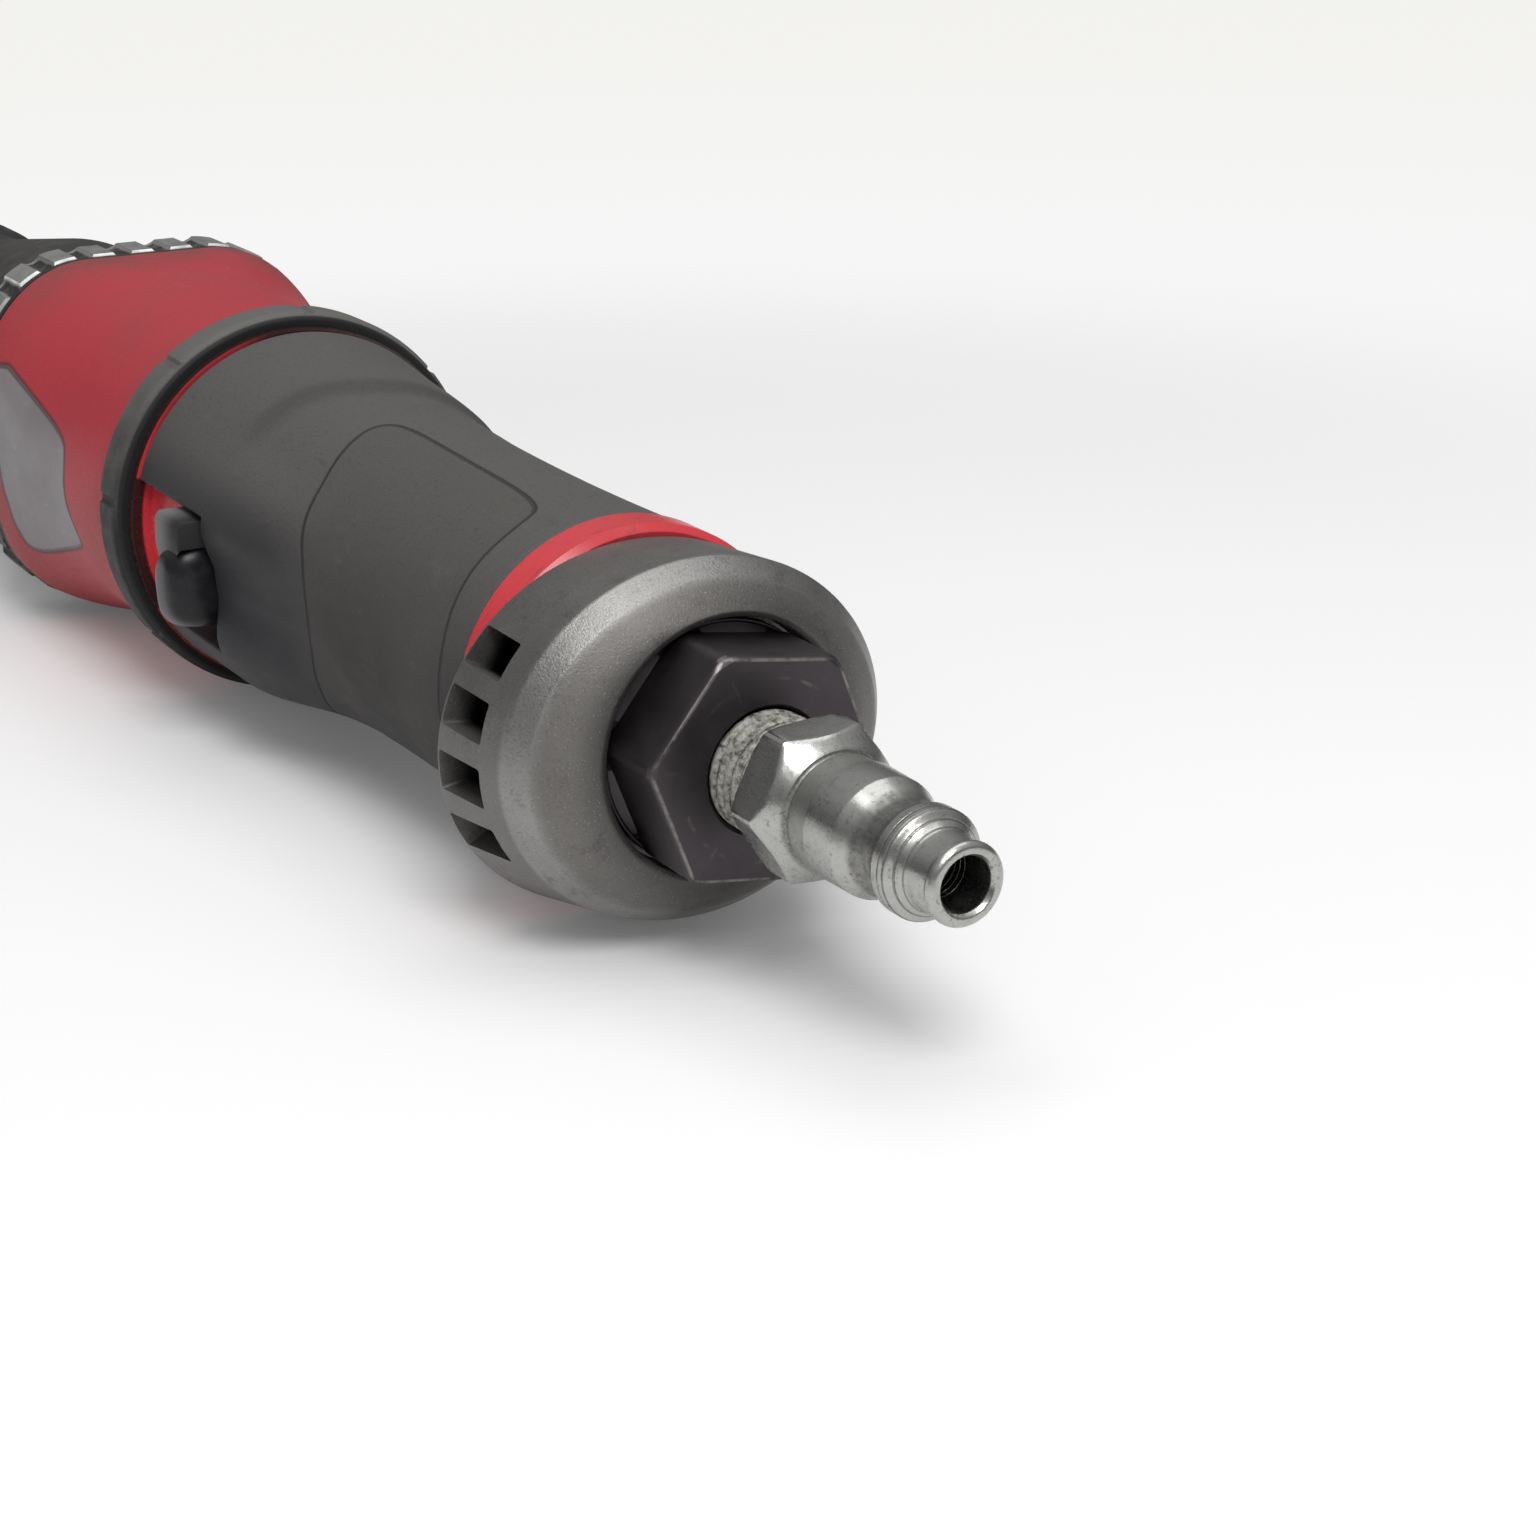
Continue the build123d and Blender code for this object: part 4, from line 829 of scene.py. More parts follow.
rubber_black = (0.017, 0.015, 0.017)
rubber_lit_dusty = (0.093, 0.09, 0.086)
panel_brown = (0.055, 0.05, 0.043)
rubber_faded = (0.085, 0.082, 0.076)
rubber_chalky = (0.12, 0.114, 0.104)
rubber_damp = (0.035, 0.034, 0.035)
speck_pale = (0.3, 0.29, 0.27)
pore_black = (0.03, 0.029, 0.03)
polish_shade_black = (0.015, 0.014, 0.018)
crease_black = (0.03, 0.029, 0.032)
groove_black = (0.014, 0.014, 0.016)
polish_along = (-203.0, -190.0)
polish_high = (0.62, 0.2)
polish_low = (-1.3, -0.8)
panel_line = grip_rubber.attribute("panel_gap")
panel_groove = panel_line.size().step(0.42, 0.05)
panel_inside = panel_line.step(0.2, -0.4)
rubber_cloud = grip_rubber.place.noise(16.0, 4.0)
rubber_fine = grip_rubber.place.noise(0.35, 3.0, 0.6)
rubber_smear = grip_rubber.place.stretched((1.0, 2.2, 2.2)).noise(6.0, 6.0, 0.68)
rubber_specks = grip_rubber.place.noise(0.9, 2.0).step(0.76, 0.8)
# Painted light: the rubber is lighter on top and darker below, together with its dust.
rubber_dust_and_light = grip_rubber.upward().step(-0.4, 1.0)
rubber_turn = grip_rubber.angle()
# Near the trigger the rubber is polished, and painted darker there as shade.
rubber_polish_and_shade = rubber_turn.step(*polish_high) * rubber_turn.step(*polish_low)
rubber_polish_and_shade = grip_rubber.along(*polish_along) * rubber_polish_and_shade
rubber_skin = rubber_dust_and_light.blend(rubber_black, rubber_lit_dusty)
rubber_skin = rubber_skin.under((panel_inside * 0.3, panel_brown),
                                (rubber_cloud.step(0.35, 0.75) * 0.35, rubber_faded),
                                (rubber_smear.step(0.55, 0.8) * 0.45, rubber_chalky),
                                (rubber_smear.step(0.42, 0.25) * 0.5, rubber_damp),
                                (rubber_specks * 0.35, speck_pale),
                                (rubber_fine.step(0.5, 0.3) * 0.35, pore_black),
                                (rubber_polish_and_shade * 0.75, polish_shade_black),
                                (grip_rubber.attribute("crease_dirt_and_shade") * 0.5, crease_black),
                                (panel_groove * 0.7, groove_black))
grip_rubber.feed("Base Color", rubber_skin)
grip_rubber.feed("Roughness", 0.62 + 0.2 * rubber_smear - 0.14 * rubber_polish_and_shade)
grip_rubber.feed("Specular IOR Level", 0.3)
grip_rubber.relief(rubber_fine * 0.12 - panel_groove, depth_mm=0.3)
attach(grip_piece, "body")
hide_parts("grip_sleeve")


# Trigger: a black moulded button with a full, rounded nose under a flat brow. It slides into the handle on a
# dowel. Fingers have polished the nose. The brow is painted lighter towards the front as painted light,
# mottled with dust, and its front edge is rubbed pale.
trigger_middle = -172.7
trigger_half = 4.35
trigger_back = 13.3
nose_centre = (20.6, -2.9)
nose_reach = 6.0
nose_height = 5.4
nose_tilt = 0.26
nose_lean = 0.12
nose_fullness = 2 / 3.2
nose_limit = 88


def full_curve(values):
    """Cosines or sines of a circle, drawn out towards a square with round corners."""
    return np.sign(values) * np.abs(values) ** nose_fullness


nose_turns = even_turns(72)
nose_across = np.where(np.cos(nose_turns) > 0, nose_reach, nose_centre[0] - trigger_back)
nose_rings = []
for lean in np.linspace(-nose_limit, nose_limit, 31):
    side = trigger_half * full_curve(math.sin(math.radians(lean)))
    size = full_curve(math.cos(math.radians(lean)))
    nose_y = nose_centre[0] + size * nose_across * full_curve(np.cos(nose_turns))
    nose_z = size * nose_height * full_curve(np.sin(nose_turns))
    nose_x = trigger_middle + side + nose_lean * nose_z
    nose_rings.append(np.column_stack([nose_x, nose_y, nose_centre[1] + nose_z - nose_tilt * side]))
nose_points, nose_faces = ring_shell(nose_rings)
nose_faces = nose_faces[:-len(nose_turns)]
nose_faces.append(list(range(len(nose_turns))))
nose_faces.append(list(range(len(nose_points) - len(nose_turns), len(nose_points))))

nose_black = (0.008, 0.008, 0.01)
nose_worn = (0.018, 0.018, 0.02)
trigger_black = Finish("trigger_black")
trigger_piece = new_piece("trigger_button", nose_points, nose_faces, trigger_black, sharp_degrees=60.0)
trigger_cloud = trigger_black.place.noise(1.8, 5.0)
trigger_black.feed("Base Color", trigger_cloud.step(0.4, 0.8).blend(nose_black, nose_worn))
trigger_black.feed("Roughness", 0.24 + 0.14 * trigger_cloud)
trigger_black.feed("Specular IOR Level", 0.3)

brow_top = 6.0
brow_recess = 0.9
brow_undercut = 2.6
brow_outline = np.array([(trigger_back, brow_top), (24.6, brow_top), (25.2, 5.2), (25.3, 2.0), (25.0, 0.0),
                         (trigger_back, 0.0)])
brow_rear = brow_outline + np.where(brow_outline[:, 1:] < 1.0, (0.0, brow_undercut), (0.0, 0.0))
brow_sides = len(brow_outline)
brow_points = np.concatenate([np.column_stack([np.full(brow_sides, trigger_middle + side), outline])
                              for side, outline in ((brow_recess - trigger_half, brow_rear),
                                                    (trigger_half, brow_outline))])
brow_faces = [list(range(brow_sides)), list(range(2 * brow_sides - 1, brow_sides - 1, -1))]
for index in range(brow_sides):
    after = (index + 1) % brow_sides
    brow_faces.append([index, brow_sides + index, brow_sides + after, after])

brow_black = (0.022, 0.021, 0.022)
brow_lit_dusty = (0.2, 0.192, 0.19)
brow_rubbed = (0.36, 0.34, 0.33)
trigger_grey = Finish("trigger_grey")
brow_piece = new_piece("trigger_brow", brow_points, brow_faces, trigger_grey)
round_edges(brow_piece, width_mm=0.45, degrees=50.0)
settle(brow_piece, sharp_degrees=50.0)
brow_dust = trigger_grey.place.noise(0.9, 4.0)
brow_front = trigger_middle + trigger_half
brow_edge = trigger_grey.along(brow_front - 0.35, brow_front + 0.05) * brow_dust.step(0.3, 0.6)
# Painted light: the brow is lighter towards the front, mottled by dust.
brow_light_and_dust = trigger_grey.along(brow_front - 6.85, brow_front - 0.05) * (0.65 + 0.5 * brow_dust)
brow_skin = brow_light_and_dust.least(1.0).blend(brow_black, brow_lit_dusty)
trigger_grey.feed("Base Color", brow_skin.under((brow_edge * 0.6, brow_rubbed)))
trigger_grey.feed("Roughness", 0.5 + 0.2 * brow_dust)
trigger_grey.feed("Specular IOR Level", 0.3)
for piece in (trigger_piece, brow_piece):
    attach(piece, "trigger")
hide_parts("trigger")


# Reverse ring: a black plastic ring with raised pads, turned by hand to change the way the drive turns.
# Both edges are chamfered, and a narrow gap shows between each pair of pads.
def new_tree(name, **inputs):
    """Empty geometry tree with named inputs: the tree, the inputs' identifiers and its two end nodes."""
    tree = bpy.data.node_groups.new(name, "GeometryNodeTree")
    keys = {}
    for label, kind in inputs.items():
        socket = tree.interface.new_socket(label, in_out="INPUT", socket_type="NodeSocket" + kind)
        keys[label] = socket.identifier
    tree.interface.new_socket("Geometry", in_out="OUTPUT", socket_type="NodeSocketGeometry")
    return tree, keys, tree.nodes.new("NodeGroupInput"), tree.nodes.new("NodeGroupOutput")


def join(tree, *links):
    """Links of a tree: each names a node and its output, then a node and its input."""
    for start, output, end, entry in links:
        tree.links.new(start.outputs[output], end.inputs[entry])


def end_tree(tree, given, result, shape):
    """Ends a tree in plain geometry that has the finish it was given."""
    real = tree.nodes.new("GeometryNodeRealizeInstances")
    paint = tree.nodes.new("GeometryNodeSetMaterial")
    join(tree, (shape, 0, real, 0), (real, 0, paint, "Geometry"), (given, "Finish", paint, "Material"),
         (paint, 0, result, 0))


def around_axis(name):
    """Node tree that repeats a shape round the tool's axis."""
    tree, keys, given, result = new_tree(name, Geometry="Geometry", Copies="Int", First="Float",
                                         Pitch="Float", Finish="Material")
    points = tree.nodes.new("GeometryNodePoints")
    copies = tree.nodes.new("GeometryNodeInstanceOnPoints")
    number = tree.nodes.new("GeometryNodeInputIndex")
    turn = tree.nodes.new("ShaderNodeMath")
    turn.operation = "MULTIPLY_ADD"
    angle = tree.nodes.new("ShaderNodeCombineXYZ")
    join(tree, (given, "Copies", points, "Count"), (points, 0, copies, "Points"),
         (given, "Geometry", copies, "Instance"), (number, 0, turn, 0), (given, "Pitch", turn, 1),
         (given, "First", turn, 2), (turn, 0, angle, "X"), (angle, 0, copies, "Rotation"))
    end_tree(tree, given, result, copies)
    return tree, keys


def grow(piece, tree, keys, **values):
    """Runs a tree on a piece, with a value for each named input."""
    modifier = piece.modifiers.new(tree.name, "NODES")
    modifier.node_group = tree
    for label, value in values.items():
        modifier[keys[label]] = value


def soften(keys, radius, closed=True):
    """Rounds the corners of a chain of points by short curves, all alike or each with its own reach."""
    keys = np.asarray(keys, float)
    limits = np.broadcast_to(radius, len(keys))
    shortest = 1e-6
    farthest = 0.48
    curve = []
    for index, here in enumerate(keys):
        if not closed and index in (0, len(keys) - 1):
            curve.append(here)
            continue
        before = keys[index - 1]
        after = keys[(index + 1) % len(keys)]
        lengths = [max(np.linalg.norm((end - here)[:2]), shortest) for end in (before, after)]
        start = here + (before - here) * min(limits[index] / lengths[0], farthest)
        end = here + (after - here) * min(limits[index] / lengths[1], farthest)
        for share in np.linspace(0, 1, 5):
            curve.append((1 - share) ** 2 * start + 2 * share * (1 - share) * here + share ** 2 * end)
    return np.array(curve)


repeat_tree, repeat_keys = around_axis("copies_round_the_axis")
ring_front = -147.65
ring_rear = -154.05
ring_bore = 21.56
ring_base = 25.2
ring_pad = 25.65
ring_black = Finish("ring_black")
ring_turns = even_turns(240)
ring_profile = soften([(ring_rear, ring_bore), (ring_rear, ring_base - 0.5), (ring_rear + 0.5, ring_base),
                       (ring_front - 0.4, ring_base), (ring_front, ring_base - 0.4),
                       (ring_front, ring_bore)], 0.25)
ring_rings = [round_ring(x, radius, ring_turns) for x, radius in ring_profile]
ring_piece = new_piece("reverse_ring_body", *ring_shell(ring_rings), ring_black)

pad_copies = 8
pad_first = math.radians(75.0)
pad_pitch = math.radians(45.0)
pad_half = math.radians(21.9)
pad_slope = math.radians(0.8)
pad_fall = 0.55
pad_root = ring_base - 1.0
pad_turns = np.linspace(-pad_half, pad_half, 41)
pad_profile = soften([(ring_rear + 0.45, pad_root), (ring_rear + 0.55, ring_pad - 0.55),
                      (ring_rear + 1.2, ring_pad), (ring_front - 0.8, ring_pad),
                      (ring_front - 0.3, ring_pad - 0.5), (ring_front - 0.3, pad_root)], 0.3)
pad_drop = pad_fall * ease(np.abs(pad_turns), pad_half - pad_slope, pad_half)
pad_rings = [round_ring(x, radius - pad_drop, pad_turns) for x, radius in pad_profile]
pad_points, pad_faces = ring_shell(pad_rings, closed_around=False)
pad_start = range(0, len(pad_points), len(pad_turns))
pad_faces.append(list(pad_start))
pad_faces.append([index + len(pad_turns) - 1 for index in reversed(pad_start)])
pad_piece = new_piece("reverse_ring_pads", pad_points, pad_faces, ring_black)
grow(pad_piece, repeat_tree, repeat_keys, Copies=pad_copies, First=pad_first, Pitch=pad_pitch,
     Finish=ring_black.material)
settle(pad_piece, sharp_degrees=40.0)

ring_shadow = (0.016, 0.015, 0.016)
ring_lit_dusty = (0.12, 0.117, 0.11)
ring_rubbed = (0.11, 0.108, 0.102)
ring_gap_black = (0.01, 0.01, 0.011)
ring_cloud = ring_black.place.noise(5.0, 5.0)
# Painted light: the ring is lighter on top and darker below, mottled with dust.
ring_dust_and_light = (ring_black.upward() + (ring_cloud - 0.5) * 0.8).step(-0.1, 1.0)
ring_rub = ring_black.outward(ring_base + 0.1, ring_pad - 0.03)
ring_rub = ring_rub * ring_black.place.noise(2.0, 5.0).step(0.3, 0.7)
# Painted shade: the rear end is black where it overhangs the gap before the handle's collar.
ring_rear_shade = ring_black.along(ring_rear + 0.6, ring_rear + 0.2)
ring_skin = ring_dust_and_light.blend(ring_shadow, ring_lit_dusty)
ring_skin = ring_skin.under((ring_rub * 0.3, ring_rubbed), (ring_rear_shade, ring_gap_black))
ring_black.feed("Base Color", ring_skin)
ring_black.feed("Roughness", 0.52 + 0.2 * ring_cloud)
ring_black.feed("Specular IOR Level", 0.3)
ring_black.relief(ring_black.place.noise(0.4, 3.0), depth_mm=0.04)
for piece in (ring_piece, pad_piece):
    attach(piece, "reverser")
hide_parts("reverse_ring")


# Exhaust deflector: an oval aluminium cup that swivels on the inlet bushing. Windows in its side let the air
# out. The casting is bead blasted, with painted glints, and its bevel is rubbed bright. Its face is darkened
# towards the mouth as painted shade, and its windows and the inside behind them are blackened as painted
# shade.
deflector_rear = -248.25
deflector_edge = -261.55
deflector_bevel = -263.95
deflector_mouth = -266.65
lip_front = -262.45
lip_rear = -259.75
mouth_radius = 13.95
lip_radius = 10.86
cup_bore = 16.4
deflector_grey = Finish("deflector_grey", 1.0)
oval_turns = even_turns(288)
# Each row: station, half width, half height, shift to the trigger's side, lift, rounding.
cup_keys = np.array([
    (deflector_rear, 23.5, 20.5, 0.9, -2.4, 0.3),
    (deflector_edge, 22.5, 19.8, 0.9, -0.4, 0.3),
    (deflector_bevel, 20.7, 18.0, 0.9, -0.4, 0.18),
    (deflector_mouth + 0.5, 16.6, 15.4, 0.4, -0.2, 2.0),
    (deflector_mouth, mouth_radius + 0.7, mouth_radius + 0.7, 0.0, 0.0, 0.35),
    (deflector_mouth + 0.4, mouth_radius, mouth_radius, 0.0, 0.0, 0.2),
    (lip_front, mouth_radius, mouth_radius, 0.0, 0.0, 0.2),
    (lip_front, lip_radius, lip_radius, 0.0, 0.0, 0.2),
    (lip_rear, lip_radius, lip_radius, 0.0, 0.0, 0.2),
    (lip_rear, cup_bore, cup_bore, 0.0, 0.0, 0.8),
    (deflector_rear - 0.6, cup_bore, cup_bore, 0.0, 0.0, 0.2),
    (deflector_rear, 22.0, 17.4, 0.9, -1.4, 0.2)])
cup_rings = []
for x, wide, tall, side, lift in soften(cup_keys[:, :-1], cup_keys[:, -1]):
    cup_rings.append(np.column_stack([np.full(len(oval_turns), x), side + wide * np.cos(oval_turns),
                                      lift + tall * np.sin(oval_turns)]))
cup_piece = new_piece("deflector_cup", *ring_shell(cup_rings), deflector_grey)

slot_copies = 4
slot_first = math.radians(26.5)
slot_pitch = math.radians(-17.0)
slot_width = 4.4
slot_depth = 8.7
slot_rim = 0.5
slot_inside = 12.4
slot_outside = 40.0
slot_low = [deflector_rear - slot_depth, slot_inside, -slot_width / 2]
slot_high = [deflector_rear - slot_rim, slot_outside, slot_width / 2]
slot_points = [[(slot_low, slot_high)[bit][axis] for axis, bit in enumerate(bits)]
               for bits in np.ndindex(2, 2, 2)]
slot_faces = [[0, 1, 3, 2], [4, 6, 7, 5], [0, 4, 5, 1], [2, 3, 7, 6], [0, 2, 6, 4], [1, 5, 7, 3]]
slot_cutter = new_piece("slot_cutter", slot_points, slot_faces, deflector_grey)
round_edges(slot_cutter, width_mm=0.35)
grow(slot_cutter, repeat_tree, repeat_keys, Copies=slot_copies, First=slot_first, Pitch=slot_pitch,
     Finish=deflector_grey.material)
settle(slot_cutter)
cut = cup_piece.modifiers.new("exhaust_slots", "BOOLEAN")
cut.operation = "DIFFERENCE"
cut.solver = "EXACT"
cut.object = slot_cutter
settle(cup_piece, sharp_degrees=32.0)
bpy.data.objects.remove(slot_cutter)

cup_dark = (0.15, 0.145, 0.138)
cup_light = (0.27, 0.262, 0.252)
bevel_bright = (0.36, 0.355, 0.345)
face_brown = (0.2, 0.188, 0.178)
stain_dark = (0.06, 0.055, 0.051)
shade_dark = (0.05, 0.046, 0.044)
pit_dark = (0.08, 0.077, 0.073)
sparkle_bright = (0.62, 0.61, 0.6)
slot_shade_black = (0.006, 0.006, 0.006)
oval_middle = (0.9 * MM, -1.7 * MM)
oval_half = (23.1 * MM, 20.2 * MM)
blast_grain = deflector_grey.place.noise(0.28, 3.0, 0.6)
# Painted glints of the blasted grain.
blast_sparkle = deflector_grey.place.noise(0.16, 1.0).step(0.66, 0.78)
cup_cloud = deflector_grey.place.noise(8.0, 5.0)
cup_stain = deflector_grey.place.stretched((1.6, 1.0, 1.0)).noise(3.4, 6.0, 0.72).step(0.54, 0.76)
bevel_band = (deflector_grey.along(deflector_edge + 1.35, deflector_edge - 0.05)
              * deflector_grey.along(deflector_bevel - 0.65, deflector_bevel + 0.35))
face_side = deflector_grey.along(deflector_bevel + 0.35, deflector_bevel - 0.85)
cup_shade = face_side * deflector_grey.outward(18.5, 14.5) * (0.25 + cup_cloud)
# Painted shade: the windows and the inside of the cup behind them are blackened.
slot_across = (deflector_grey.y - oval_middle[0]) / oval_half[0]
slot_up = (deflector_grey.z - oval_middle[1]) / oval_half[1]
slot_sink = (slot_across * slot_across + slot_up * slot_up) ** 0.5
slot_end = deflector_rear - slot_depth
slot_shade = slot_sink.step(0.965, 0.83) * deflector_grey.along(slot_end - 2.25, slot_end - 1.45)
cup_skin = cup_cloud.blend(cup_dark, cup_light)
cup_skin = cup_skin.under((bevel_band * (0.2 + 0.5 * cup_cloud), bevel_bright),
                          (face_side * 0.4, face_brown),
                          (cup_stain * 0.6, stain_dark),
                          ((cup_shade * 0.6).least(0.8), shade_dark),
                          (blast_grain.step(0.5, 0.3) * 0.35, pit_dark),
                          (blast_sparkle * 0.5, sparkle_bright),
                          (slot_shade, slot_shade_black))
deflector_grey.feed("Base Color", cup_skin)
deflector_grey.feed("Roughness", 0.5 + 0.18 * blast_grain - 0.16 * bevel_band + 0.3 * slot_shade)
deflector_grey.relief(blast_grain, depth_mm=0.05)
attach(cup_piece, "deflector")
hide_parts("exhaust_deflector")


# Inlet bushing: a hexagon of black oxide steel with a round flange, screwed into the handle.
# Spanners have rubbed its corners and its rear edges bright.
bushing_end = -274.3
bushing_flange = -264.6
bushing_hex = 23.8
bushing_turn = math.radians(9.0)
bushing_corner = bushing_hex / math.sqrt(3) - 0.2
sixth_turn = FULL_TURN / 6
corner_steps = [-30, -24, -18, -12, -8, -5, -3.2, -2, -1, 0, 1, 2, 3.2, 5, 8, 12, 18, 24]
hex_turns = np.concatenate([np.radians(60 * side + np.array(corner_steps)) for side in range(6)])


def hex_ring(x, across, limit, turn, turns):
    """Ring of a hexagon bar, with its corners turned down to the limit."""
    off = np.abs((turns - turn + sixth_turn / 2) % sixth_turn - sixth_turn / 2)
    return round_ring(x, np.minimum(across / 2 / np.cos(sixth_turn / 2 - off), limit), turns)


bushing_black = Finish("bushing_black", 1.0)
bushing_turns = bushing_turn + hex_turns
bushing_stem = soften([(-248.6, 6.6), (-248.6, 9.3), (-259.5, 9.4), (-259.6, 10.8), (-262.55, 10.8),
                       (-262.6, 13.4), (bushing_flange, 13.4), (bushing_flange, 13.0)], 0.25)
# Each row: station, inset of the flats, trim of the corners.
bushing_flats = [(-264.66, 0, 0), (bushing_end + 1.4, 0, 0), (bushing_end + 0.8, 0, 0.05),
                 (bushing_end + 0.4, 0.02, 0.3), (bushing_end + 0.15, 0.1, 0.6),
                 (bushing_end + 0.03, 0.22, 0.8), (bushing_end, 0.4, 1.0)]
bushing_mouth = [(0, 10.8), (0, 9.0), (0, 7.0), (0.4, 6.62), (9.0, 6.6)]
bushing_rings = [round_ring(x, radius, bushing_turns) for x, radius in bushing_stem]
bushing_rings += [hex_ring(x, bushing_hex - 2 * inset, bushing_corner - trim, bushing_turn, bushing_turns)
                  for x, inset, trim in bushing_flats]
bushing_rings += [round_ring(bushing_end + x, radius, bushing_turns) for x, radius in bushing_mouth]
bushing_piece = new_piece("inlet_bushing_hex", *ring_shell(bushing_rings), bushing_black, sharp_degrees=22.0)

oxide_dark = (0.052, 0.045, 0.051)
oxide_light = (0.1, 0.09, 0.096)
oxide_scratched = (0.13, 0.12, 0.115)
oxide_bright = (0.36, 0.335, 0.31)
edge_arm = 13.7 * MM
spanner_radius = 9.7 * MM
bushing_fold = bushing_black.angle() - (bushing_turn - sixth_turn / 2)
bushing_off = (bushing_fold.wrapped(sixth_turn) - sixth_turn / 2).size()
bushing_flat = bushing_black.radius() * (sixth_turn / 2 - bushing_off).cosine()
bushing_cloud = bushing_black.place.noise(5.0, 5.0)
bushing_scratch = bushing_black.place.noise(0.7, 5.0, 0.7)
bushing_break = bushing_black.place.noise(3.0, 5.0, 0.7)
side_edge = (bushing_off * edge_arm).step(0.5 * MM, 0.0)
side_edge = side_edge * bushing_black.along(bushing_flange, bushing_flange - 0.6)
end_edge = bushing_flat.step(11.35 * MM, 11.55 * MM) * bushing_flat.step(11.85 * MM, 11.65 * MM)
end_edge = end_edge * bushing_black.along(bushing_end + 0.5, bushing_end + 0.2)
spanner_ring = (bushing_black.radius() - spanner_radius).size().step(0.3 * MM, 0.05 * MM)
spanner_ring = spanner_ring * bushing_black.along(bushing_end + 0.2, bushing_end + 0.1)
bushing_rub = (end_edge * bushing_break.step(0.3, 0.6)).most(side_edge * bushing_break.step(0.5, 0.7) * 0.25)
bushing_rub = bushing_rub.most(spanner_ring * bushing_black.place.noise(4.0, 3.0).step(0.5, 0.7) * 0.4)
bushing_skin = bushing_cloud.blend(oxide_dark, oxide_light)
bushing_skin = bushing_skin.under((bushing_scratch.step(0.64, 0.76) * 0.3, oxide_scratched),
                                  (bushing_rub * 0.65, oxide_bright))
bushing_black.feed("Base Color", bushing_skin)
bushing_black.feed("Roughness", 0.38 + 0.2 * bushing_cloud)
bushing_black.relief(bushing_scratch, depth_mm=0.02)
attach(bushing_piece, "body")
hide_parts("inlet_bushing")


# Air plug: a zinc plated steel plug for a quick coupler, screwed into the bushing on sealing tape.
# The nose and collar are polished by the coupler, and the grooves and the hexagon are grey with grime.
plug_tip = -310.0
plug_turn = math.radians(-3.0)
plug_hex = 15.0
plug_corner = plug_hex / math.sqrt(3) - 0.12
plug_bore = 2.76
plug_shank = 6.0
plug_end = 44.6
hex_start = 22.35
hex_chamfer = 2.4
hex_small = 6.3
plug_zinc = Finish("plug_zinc", 1.0)
plug_turns = plug_turn + hex_turns
# Each row: distance from the tip, radius, rounding.
plug_keys = np.array([
    (30.0, plug_bore, 0), (0.5, plug_bore, 0.15), (0.0, 3.15, 0.15), (0.0, 3.8, 0.25), (0.45, 4.22, 0.2),
    (1.0, 4.22, 0.2), (1.3, 4.04, 0.2), (4.4, 4.1, 0.5), (5.4, 4.9, 0.3), (5.8, 5.45, 0.15),
    (6.1, 5.65, 0.12), (7.8, 5.65, 0.15), (8.15, 5.4, 0.2), (9.0, 4.97, 0.3), (11.1, 4.95, 0.4),
    (13.5, 6.0, 0.2), (13.9, 6.2, 0.2), (18.7, 6.3, 0.08), (18.85, 6.1, 0.08), (21.9, 6.05, 0.1),
    (22.1, 5.85, 0.1), (22.3, 6.1, 0)])
plug_trims = [(28.2, 0), (28.5, 0.2), (28.75, 0.6), (28.95, 1.2), (29.0, 2.3)]
plug_rings = [round_ring(plug_tip + x, radius, plug_turns)
              for x, radius in soften(plug_keys[:, :-1], plug_keys[:, -1], closed=False)]
plug_rings += [hex_ring(plug_tip + hex_start + hex_chamfer * share, plug_hex,
                        hex_small + (plug_corner - hex_small) * share, plug_turn, plug_turns)
               for share in np.linspace(0, 1, 13)]
plug_rings += [hex_ring(plug_tip + x, plug_hex, plug_corner - trim, plug_turn, plug_turns)
               for x, trim in plug_trims]
plug_rings += [round_ring(plug_tip + x, radius, plug_turns)
               for x, radius in ((29.1, plug_shank), (plug_end, plug_shank), (plug_end, plug_bore))]
plug_piece = new_piece("air_plug_body", *ring_shell(plug_rings), plug_zinc, sharp_degrees=26.0)


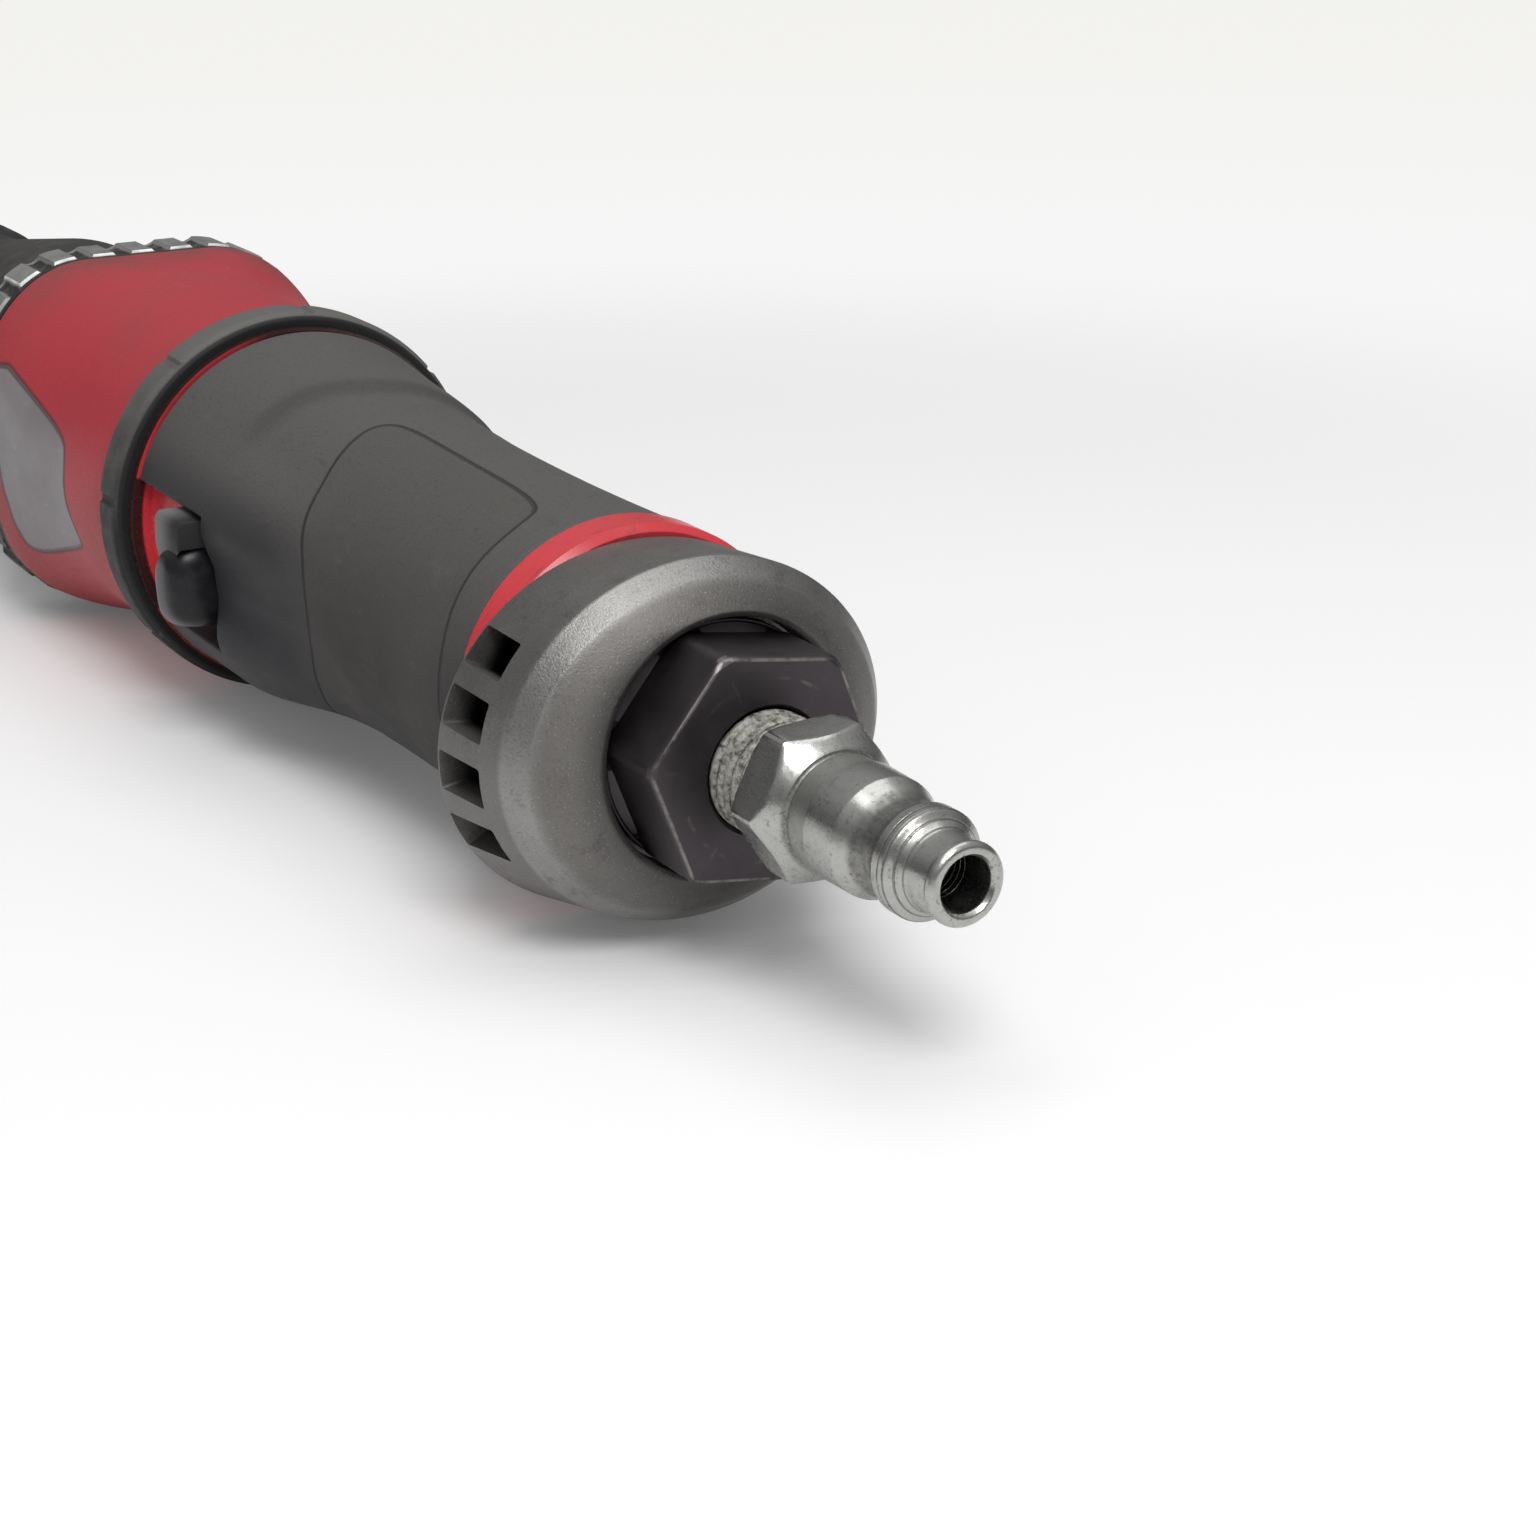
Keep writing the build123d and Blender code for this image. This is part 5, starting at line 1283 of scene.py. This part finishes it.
def thread_tree(name):
    """Node tree that sweeps a thread's ridge along a helix on the tool's axis."""
    tree, keys, given, result = new_tree(name, Turns="Float", Pitch="Float", Radius="Float", Ridge="Float",
                                         Start="Float", Finish="Material")
    helix = tree.nodes.new("GeometryNodeCurveSpiral")
    helix.inputs["Resolution"].default_value = 48
    length = tree.nodes.new("ShaderNodeMath")
    length.operation = "MULTIPLY"
    lay = tree.nodes.new("GeometryNodeTransform")
    lay.inputs["Rotation"].default_value = (0, math.pi / 2, 0)
    move = tree.nodes.new("ShaderNodeCombineXYZ")
    ridge = tree.nodes.new("GeometryNodeCurvePrimitiveCircle")
    ridge.inputs["Resolution"].default_value = 6
    sweep = tree.nodes.new("GeometryNodeCurveToMesh")
    sweep.inputs["Fill Caps"].default_value = True
    join(tree, (given, "Turns", helix, "Rotations"), (given, "Radius", helix, "Start Radius"),
         (given, "Radius", helix, "End Radius"), (given, "Turns", length, 0), (given, "Pitch", length, 1),
         (length, 0, helix, "Height"), (helix, 0, lay, "Geometry"), (given, "Start", move, "X"),
         (move, 0, lay, "Translation"), (given, "Ridge", ridge, "Radius"), (lay, 0, sweep, "Curve"),
         (ridge, 0, sweep, "Profile Curve"))
    end_tree(tree, given, result, sweep)
    return tree, keys


thread_turns = 5.2
thread_pitch = 1.41 * MM
thread_radius = 5.95 * MM
thread_ridge = 0.62 * MM
thread_start = (plug_tip + 29.2) * MM
tape_grey = (0.12, 0.118, 0.1)
tape_pale = (0.42, 0.415, 0.375)
tape_white = Finish("thread_tape")
thread_piece = bpy.data.objects.new("air_plug_thread", bpy.data.meshes.new("air_plug_thread"))
scene.collection.objects.link(thread_piece)
grow(thread_piece, *thread_tree("thread_ridge"), Turns=thread_turns, Pitch=thread_pitch, Radius=thread_radius,
     Ridge=thread_ridge, Start=thread_start, Finish=tape_white.material)
settle(thread_piece, sharp_degrees=60.0)
tape_shred = tape_white.place.noise(0.7, 5.0, 0.7)
tape_white.feed("Base Color", tape_shred.step(0.35, 0.68).blend(tape_grey, tape_pale))
tape_white.feed("Roughness", 0.5 + 0.2 * tape_shred)
tape_white.feed("Metallic", tape_shred.step(0.5, 0.35) * 0.8)

zinc_dull = (0.34, 0.338, 0.322)
zinc_bright = (0.54, 0.538, 0.52)
zinc_rough = (0.3, 0.31, 0.28)
zinc_dirty = (0.11, 0.108, 0.1)
rust_brown = (0.16, 0.045, 0.02)
rust_place = Vector((-305.2, 1.8, 5.2)) * MM
line_pitch = 0.75 * MM
zinc_cloud = plug_zinc.place.noise(2.2, 5.0, 0.62)
zinc_fine = plug_zinc.place.stretched((0.35, 1.0, 1.0)).noise(0.5, 4.0)
groove_dirt = plug_zinc.band(plug_tip + 10.4, 1.2, 2.2)
neck_dirt = plug_zinc.band(plug_tip + 22.1, 0.2, 0.6)
rough_band = plug_zinc.band(plug_tip + 20.4, 1.6, 1.9)
collar_lines = ((plug_zinc.x - plug_tip * MM) * (FULL_TURN / line_pitch)).cosine().step(0.55, 0.95)
collar_lines = collar_lines * plug_zinc.band(plug_tip + 5.9, 1.3, 1.6)
zinc_patch = plug_zinc.place.noise(1.8, 4.0).step(0.42, 0.6)
zinc_specks = plug_zinc.place.noise(0.4, 4.0, 0.65).step(0.52, 0.64) * zinc_patch
zinc_grime = (groove_dirt * 0.7).most(neck_dirt * 0.6).most(collar_lines * 0.75)
zinc_grime = (zinc_grime + zinc_cloud.step(0.48, 0.75) * 0.35) * (0.35 + zinc_fine) + zinc_specks * 0.5
rust_distance = plug_zinc.place.node("ShaderNodeVectorMath", {"operation": "DISTANCE"},
                                     {0: plug_zinc.place, 1: rust_place}, "Value")
rust_spot = (rust_distance + zinc_fine * (0.6 * MM)).step(1.3 * MM, 0.6 * MM)
zinc_skin = zinc_cloud.blend(zinc_dull, zinc_bright)
zinc_skin = zinc_skin.under((rough_band * 0.5, zinc_rough), (zinc_grime.least(0.85), zinc_dirty),
                            (rust_spot * 0.8, rust_brown))
plug_zinc.feed("Base Color", zinc_skin)
plug_zinc.feed("Roughness", 0.2 + 0.14 * zinc_cloud + 0.25 * zinc_grime.least(1.0) + 0.14 * rough_band)
plug_zinc.relief(zinc_fine * 0.3 - collar_lines, depth_mm=0.05)
for piece in (plug_piece, thread_piece):
    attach(piece, "body")
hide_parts("air_plug")
